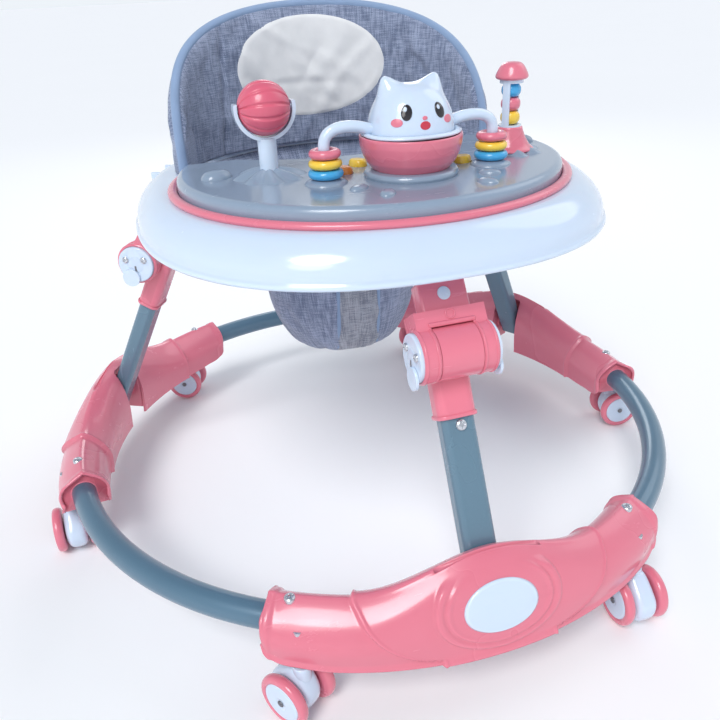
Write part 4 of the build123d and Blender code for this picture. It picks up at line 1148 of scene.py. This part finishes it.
def spinning_ball():
    """A toy ball with moulded seams and small pebbles."""
    columns, rows = 180, 110
    points = []
    for row in range(rows):
        elevation = -math.pi / 2 + math.pi * (row + 0.02) / (rows - 0.96)
        for column in range(columns):
            turn = math.tau * column / columns
            level = math.cos(elevation)
            x, y, z = math.sin(elevation), level * math.cos(turn), level * math.sin(turn)
            rib = abs((turn / math.tau * BALL_RIBS) % 1.0 - 0.5) * level
            dip = 1.3 * float(smooth((0.12 * level + 0.02 - rib) / 0.07))
            dip *= float(smooth(rib_fade(elevation)))
            reach = BALL_R - 0.15 - dip
            points.append((BALL_AT[0] + reach * x, BALL_AT[1] + reach * y, BALL_Z + reach * z))
    piece = add_piece("toy_ball", points, grid_faces(rows, columns, around=True), pebbled_pink, "ball",
                      ("spinning_ball",))
    tidy_normals(piece)


def bead_post():
    """The post's pink foot and cap, and its three beads."""
    place = Matrix.Translation((POST_AT[0], POST_AT[1], 0.0))
    base = ((0.0, 405.0), (23.5, 405.0), (23.5, 407.5), (20.0, 409.5), (15.5, 417.0), (12.6, 424.5),
            (12.2, 427.5), (0.0, 427.5))
    turned("post_cone", base, pink_plastic, "tray", "pink_plastic", ("bead_post_ends",), place, 2.4, 80)
    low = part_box("bead_frame")[1][2] * 1000.0 - 0.2
    cap = ((0.0, low), (12.0, low), (15.2, low + 1.4), (15.4, low + 4.0), (13.2, low + 8.5),
           (10.6, low + 13.0), (7.0, low + 15.4), (0.0, low + 16.0))
    turned("post_cap", cap, pink_plastic, "tray", "pink_plastic", (), place, 2.6, 80)
    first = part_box("post_beads")[0][2] * 1000.0
    for level, material in enumerate((yellow_plastic, pink_plastic, blue_plastic)):
        bottom = first + level * 12.4
        outline = ((2.7, bottom), (6.5, bottom + 0.2), (8.9, bottom + 3.0), (9.3, bottom + 6.0),
                   (8.9, bottom + 9.0), (6.5, bottom + 11.8), (2.7, bottom + 12.0))
        turned(f"post_bead_{level}", outline, material, "beads", "toy_ring_plastic",
               ("post_beads",) if level == 0 else (), place, 1.8, 56)


KEY_RING = 62.0
PETALS = {"left": ((152.0, orange_plastic), (122.0, yellow_plastic)),
          "right": ((18.0, yellow_plastic), (48.0, orange_plastic))}


def petal_keys():
    """Rounded petal keys: smooth domes standing round the cat."""
    for side, petals in PETALS.items():
        low, high = (corner[2] * 1000.0 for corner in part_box(f"{side}_petal_keys"))
        for index, (angle, material) in enumerate(petals):
            way = math.radians(angle)
            spot = (CAT_AT[0] + KEY_RING * math.cos(way), CAT_AT[1] + KEY_RING * math.sin(way), 0.0)
            place = Matrix.Translation(spot) @ Matrix.Rotation(way, 4, "Z")
            rows, count = 14, 56
            points = []
            for row in range(rows):
                share = row / (rows - 1)
                crown = math.sin(math.pi / 2 * min(1.0, share * 1.25))
                reach = max(0.02, math.cos(math.pi / 2 * max(0.0, share - 0.25) / 0.75) ** 0.6)
                for step in range(count):
                    turn = math.tau * step / count
                    taper = 1.0 - 0.16 * math.cos(turn)
                    points.append((9.6 * reach * math.cos(turn), 7.2 * reach * taper * math.sin(turn),
                                   low + (high + 1.2 - low) * crown))
            replaced = (f"{side}_petal_keys",) if index == 0 else ()
            piece = add_piece(f"petal_key_{side}_{index}", points, grid_faces(rows, count, around=True),
                              material, f"{side}_keys", replaced, place)
            tidy_normals(piece)


petal_keys()
cat_bowl()
cat_head()
cat_face()
cat_arms()
spinning_ball()
bead_post()


# ------------------------------------------------------------------ seat
def crease_field(u, v, seed, count, strength):
    """Soft folds: ridges along random short lines over a cloth's own coordinates in millimetres."""
    random = np.random.default_rng(seed)
    height = np.zeros_like(u)
    for _ in range(count):
        cu, cv = random.uniform(u.min(), u.max()), random.uniform(v.min(), v.max())
        way = random.uniform(-1.1, 1.1) + math.pi / 2 * (random.random() < 0.45)
        length, width = random.uniform(22, 70), random.uniform(4.0, 9.0)
        along = (u - cu) * math.cos(way) + (v - cv) * math.sin(way)
        across = -(u - cu) * math.sin(way) + (v - cv) * math.cos(way)
        across = across + 0.004 * along ** 2 * random.uniform(-1, 1)
        height += random.uniform(-1, 1) * np.exp(-(along / length) ** 2 - (across / width) ** 2)
    return strength * height


BACK_HALF = (180.0, 130.0)
BACK_Y = 40.0
BACK_FOOT = 388.6
BACK_TOP = 538.0
BACK_PAD = 20.0


PATCH_AT = (-0.012, 473.0)
PATCH_HALF = (0.370, 55.0)


def back_outline(side):
    """Height of the seat back's edge at a share of its half width."""
    share = abs(side)
    return BACK_FOOT + (BACK_TOP - BACK_FOOT) * (1.0 - share ** 2.1) ** 0.52


def seat_back():
    """Padded back: two linen sheets over foam, crowned, creased and sewn into a binding."""
    columns, rows = 170, 64
    front, back, flat = [], [], []
    u_grid = np.linspace(-1, 1, columns)
    for row in range(rows):
        v = row / (rows - 1)
        for u in u_grid:
            turn = math.radians(90.0 - 88.0 * u)
            top = back_outline(u * 0.985)
            height = BACK_FOOT + (top - BACK_FOOT) * v
            x = (BACK_HALF[0] - BACK_PAD / 2) * math.cos(turn)
            y = BACK_Y + (BACK_HALF[1] - BACK_PAD / 2) * math.sin(turn)
            out = np.array((math.cos(turn) / BACK_HALF[0], math.sin(turn) / BACK_HALF[1], 0.0))
            front.append((x, y, height))
            back.append(out / np.linalg.norm(out))
            flat.append((u * 250.0, height))
    middle = np.array(front)
    out = np.array(back)
    flat = np.array(flat)
    u_share = np.tile(u_grid, rows)
    v_share = np.repeat(np.linspace(0, 1, rows), columns)
    edge = np.minimum((1.0 - np.abs(u_share)) * 9.0, np.minimum((1.0 - v_share) * 4.2, 1.0 + 0 * v_share))
    crown = np.sqrt(np.clip(1.0 - (1.0 - np.clip(edge, 0, 1)) ** 2, 0, 1))
    creases = crease_field(flat[:, 0], flat[:, 1], 4, 85, 2.9)
    creases += crease_field(flat[:, 0], flat[:, 1], 9, 50, 1.5)
    channel = 0
    for line in (-118.0, 118.0):
        channel = channel - 3.2 * np.exp(-((flat[:, 0] - line - 0.12 * (flat[:, 1] - 460)) / 4.0) ** 2)
    puff = BACK_PAD / 2 * (0.25 + 0.75 * crown)
    inner = middle - out * (puff + crown * (creases + channel))[:, None]
    outer = middle + out * (puff + 0.8 * crown * crease_field(flat[:, 0], flat[:, 1], 21, 90, 2.0))[:, None]
    faces = grid_faces(rows, columns)
    count = len(middle)
    faces += [tuple(count + index for index in reversed(face)) for face in faces]
    rim = ([column for column in range(columns)]
           + [row * columns + columns - 1 for row in range(1, rows)]
           + [(rows - 1) * columns + column for column in reversed(range(columns - 1))]
           + [row * columns for row in reversed(range(1, rows - 1))])
    for first, second in zip(rim, rim[1:] + rim[:1]):
        faces.append((second, first, count + first, count + second))
    pad = add_piece("padded_seat_back", np.vstack((inner, outer)), faces, seat_linen, "tray",
                    ("seat_back",), None, np.vstack((flat, flat)))
    over = [row * columns + columns - 1 for row in range(rows)]
    over += [(rows - 1) * columns + column for column in reversed(range(columns - 1))]
    over += [row * columns for row in reversed(range(rows - 1))]
    route = [tuple(middle[index]) for index in over[::3]]
    bent = bent_rod("seat_back_binding", route, 9.5, binding, "tray")
    patch_rows, patch_count = 20, 120
    surface = inner.reshape(rows, columns, 3)
    away = out.reshape(rows, columns, 3)
    points = []
    uv = []
    for row in range(patch_rows + 1):
        share = max(row, 0.05) / patch_rows
        for step in range(patch_count):
            turn = math.tau * step / patch_count
            across = PATCH_AT[0] + PATCH_HALF[0] * share * math.cos(turn)
            height = PATCH_AT[1] + PATCH_HALF[1] * share * math.sin(turn)
            top = back_outline(across * 0.985)
            column = (across + 1) / 2 * (columns - 1)
            level = (height - BACK_FOOT) / (top - BACK_FOOT) * (rows - 1)
            i, j = int(level), int(column)
            di, dj = level - i, column - j
            base = ((surface[i, j] * (1 - dj) + surface[i, j + 1] * dj) * (1 - di)
                    + (surface[i + 1, j] * (1 - dj) + surface[i + 1, j + 1] * dj) * di)
            points.append(base - away[i, j] * (1.3 if row < patch_rows else -0.5))
            uv.append((across * 250.0, height))
    plain = add_piece("plain_oval_patch", points, grid_faces(patch_rows + 1, patch_count, around=True),
                      patch_cloth, "tray", (), None, uv)


CROTCH_HALF = 24.0
# half width, half depth, height and middle of the sling, from its hem down
SLING = ((139.0, 87.0, 384.0, 72.0), (128.0, 82.0, 372.0, 72.0), (104.0, 71.0, 345.0, 72.0),
         (96.0, 67.0, 300.0, 70.0), (91.0, 65.5, 246.0, 68.0), (82.0, 59.5, 202.0, 66.0),
         (62.0, 48.0, 170.5, 64.0), (36.0, 30.0, 163.8, 64.0), (1.0, 1.0, 163.2, 64.0))


def seat_sling():
    """Hanging linen seat: creased bag with two bound leg openings and a lighter crotch panel."""
    rows, columns = 96, 180
    line = smooth_line(np.array(SLING), rows)
    points, flat = [], []
    for row, (half_x, half_y, height, middle) in enumerate(line):
        for column in range(columns):
            turn = math.tau * column / columns
            points.append((half_x * math.cos(turn), middle + half_y * math.sin(turn), height))
            flat.append((turn * 85.0, height + row * 0.4))
    points, flat = np.array(points), np.array(flat)
    centre = np.array((0.0, 72.0, 260.0))
    away = points - centre
    away[:, 2] *= 0.5
    away /= np.linalg.norm(away, axis=1)[:, None]
    folds = crease_field(flat[:, 0], flat[:, 1], 31, 150, 1.5)
    fade = np.clip((384.0 - points[:, 2]) / 40.0, 0, 1)
    points = points + away * ((folds - 1.6) * fade)[:, None]
    bag = add_piece("seat_sling_cloth", points, grid_faces(rows, columns, around=True), seat_linen,
                    "tray", ("seat_sling",), None, flat)
    modify(bag, "SOLIDIFY", thickness=2.2 * MM, offset=-1.0)
    bake(bag)
    openings = []
    for side in (-1, 1):
        place = Matrix.Translation((side * 66.0, SEAT_Y - 100.0, 285.0)) @ Matrix.Rotation(
            side * math.radians(24.0), 4, "Z") @ Matrix.Rotation(-math.pi / 2, 4, "X")
        outline = ((0.0, 20.0), (30.0, 20.0), (30.0, 118.0), (0.0, 118.0))
        rod = turned(f"leg_cutter_{side_tag(side)}", outline, seat_linen, "tray", "linen", (), place, 0.1, 64)
        modify(bag, "BOOLEAN", operation="DIFFERENCE", object=rod, solver="EXACT")
        bake(bag)
        openings.append((side, place))
        bpy.data.objects.remove(rod)
    bag.data.materials.append(crotch_linen)
    for face in bag.data.polygons:
        centre = face.center * 1000.0
        if abs(centre.x) < CROTCH_HALF and centre.y < 64.0:
            face.material_index = 1
    for side in (-1, 1):
        seam = []
        for height in np.linspace(376.0, 172.0, 60):
            half_x, half_y, middle = sling_level(height)
            x = side * CROTCH_HALF
            seam.append((x, middle - 1.0 * half_y * math.sqrt(1.0 - (x / half_x) ** 2), height, 1.0))
        edge_rod(f"crotch_seam_binding_{side_tag(side)}", seam, 4.6, False)
    for side, place in openings:
        loop = []
        for step in range(72):
            turn = math.tau * step / 72
            x, z = 30.0 * math.cos(turn), 30.0 * math.sin(turn)
            way = place.to_3x3() @ Vector((0, 0, 1))
            start = place @ Vector((x, z, 0.0))
            best = min(np.linspace(30.0, 115.0, 120), key=lambda d: abs(bag_radius(start + way * d)))
            spot = start + way * best
            loop.append((spot.x, spot.y, spot.z, 1.0))
        edge_rod(f"leg_opening_binding_{side_tag(side)}", loop, 5.5)


def sling_level(height):
    """Half width, half depth and middle of the sling at a height."""
    table = np.array(SLING)[::-1]
    return (np.interp(height, table[:, 2], table[:, 0]), np.interp(height, table[:, 2], table[:, 1]),
            np.interp(height, table[:, 2], table[:, 3]))


def bag_radius(point):
    """Signed measure of a point against the sling's side: 0 on the cloth."""
    half_x, half_y, middle = sling_level(point.z)
    return math.hypot(point.x / half_x, (point.y - middle) / half_y) - 0.985


def edge_rod(name, loop, diameter, closed=True):
    """Round bias binding along a line of points."""
    curve = bpy.data.curves.new(name, "CURVE")
    curve.dimensions = "3D"
    curve.bevel_depth = diameter / 2 * MM
    curve.bevel_resolution = 4
    spline = curve.splines.new("POLY")
    spline.points.add(len(loop) - 1)
    for point, target in zip(spline.points, loop):
        point.co = (target[0] * MM, target[1] * MM, target[2] * MM, 1.0)
    spline.use_cyclic_u = closed
    curve.materials.append(binding)
    rod = bpy.data.objects.new(name, curve)
    bpy.context.scene.collection.objects.link(rod)
    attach(rod, "tray")
    return rod


seat_back()
seat_sling()


# ------------------------------------------------------------------ stage
def studio():
    """White paper floor, a sky that dims upward, two broad suns and two soft boxes."""
    floor_mesh = bpy.data.meshes.new("studio_floor")
    floor_mesh.from_pydata([(-60, -60, 0), (60, -60, 0), (60, 60, 0), (-60, 60, 0)], [], [(0, 1, 2, 3)])
    floor = bpy.data.objects.new("studio_floor", floor_mesh)
    bpy.context.scene.collection.objects.link(floor)
    finish = Finish("studio_floor_paper")
    paper = finish.blend(finish.noise(1.2), (0.94, 0.94, 0.945), (0.96, 0.96, 0.965))
    finish.set(Base_Color=paper, Roughness=0.8)
    floor_mesh.materials.append(finish.material)
    world = bpy.data.worlds.new("studio_world")
    bpy.context.scene.world = world
    world.use_nodes = True
    tree = world.node_tree
    spot = tree.nodes.new("ShaderNodeTexCoord")
    split = tree.nodes.new("ShaderNodeSeparateXYZ")
    ramp = tree.nodes.new("ShaderNodeValToRGB")
    ramp.color_ramp.elements[0].position = 0.05
    ramp.color_ramp.elements[0].color = (0.90, 0.95, 1.0, 1.0)
    ramp.color_ramp.elements[1].position = 0.85
    ramp.color_ramp.elements[1].color = (0.34, 0.38, 0.45, 1.0)
    tree.links.new(spot.outputs["Generated"], split.inputs[0])
    tree.links.new(split.outputs[2], ramp.inputs[0])
    tree.links.new(ramp.outputs[0], tree.nodes["Background"].inputs[0])
    tree.nodes["Background"].inputs[1].default_value = 0.95
    bpy.context.scene.view_settings.view_transform = "Standard"
    suns = (("key_sun", (-1.2, -1.5, 2.4), 1.55, 24.0), ("side_sun", (2.0, 0.4, 1.8), 0.45, 40.0))
    for name, spot, strength, spread in suns:
        lamp = bpy.data.lights.new(name, "SUN")
        lamp.energy = strength
        lamp.angle = math.radians(spread)
        light = bpy.data.objects.new(name, lamp)
        bpy.context.scene.collection.objects.link(light)
        light.rotation_euler = (-Vector(spot)).to_track_quat("-Z", "Y").to_euler()
    lamps = (("soft_box", (-1.3, -1.7, 1.6), 0.9, 7.0, (1.0, 0.98, 0.95)),
             ("rim_light", (0.6, 2.0, 1.3), 0.8, 6.0, (1.0, 1.0, 1.0)))
    for name, spot, size, power, tone in lamps:
        lamp = bpy.data.lights.new(name, "AREA")
        lamp.shape = "DISK"
        lamp.size = size
        lamp.energy = power
        lamp.color = tone
        light = bpy.data.objects.new(name, lamp)
        bpy.context.scene.collection.objects.link(light)
        light.location = spot
        light.rotation_euler = (Vector((0, 0, 0.25)) - Vector(spot)).to_track_quat("-Z", "Y").to_euler()


CAMERA_AZIMUTH = math.radians(-16.9613)
CAMERA_ELEVATION = math.radians(27.1080)
CAMERA_ROLL = math.radians(-2.7202)
CAMERA_DISTANCE = 0.88132
CAMERA_TARGET = Vector((0.0, 0.0115, 0.15367))
CAMERA_LENS = 36.719


def walker_camera():
    """The one camera, turned round the walker and rolled a little."""
    back = Vector((math.sin(CAMERA_AZIMUTH) * math.cos(CAMERA_ELEVATION),
                   -math.cos(CAMERA_AZIMUTH) * math.cos(CAMERA_ELEVATION), math.sin(CAMERA_ELEVATION)))
    right = Vector((math.cos(CAMERA_AZIMUTH), math.sin(CAMERA_AZIMUTH), 0.0))
    up = back.cross(right)
    tilted_right = math.cos(CAMERA_ROLL) * right + math.sin(CAMERA_ROLL) * up
    tilted_up = -math.sin(CAMERA_ROLL) * right + math.cos(CAMERA_ROLL) * up
    lens = bpy.data.cameras.new("walker_camera")
    lens.lens = CAMERA_LENS
    lens.sensor_width = 36.0
    camera = bpy.data.objects.new("walker_camera", lens)
    bpy.context.scene.collection.objects.link(camera)
    place = Matrix((tilted_right, tilted_up, back)).transposed().to_4x4()
    place.translation = CAMERA_TARGET + back * CAMERA_DISTANCE
    camera.matrix_world = place
    bpy.context.scene.camera = camera


studio()
walker_camera()
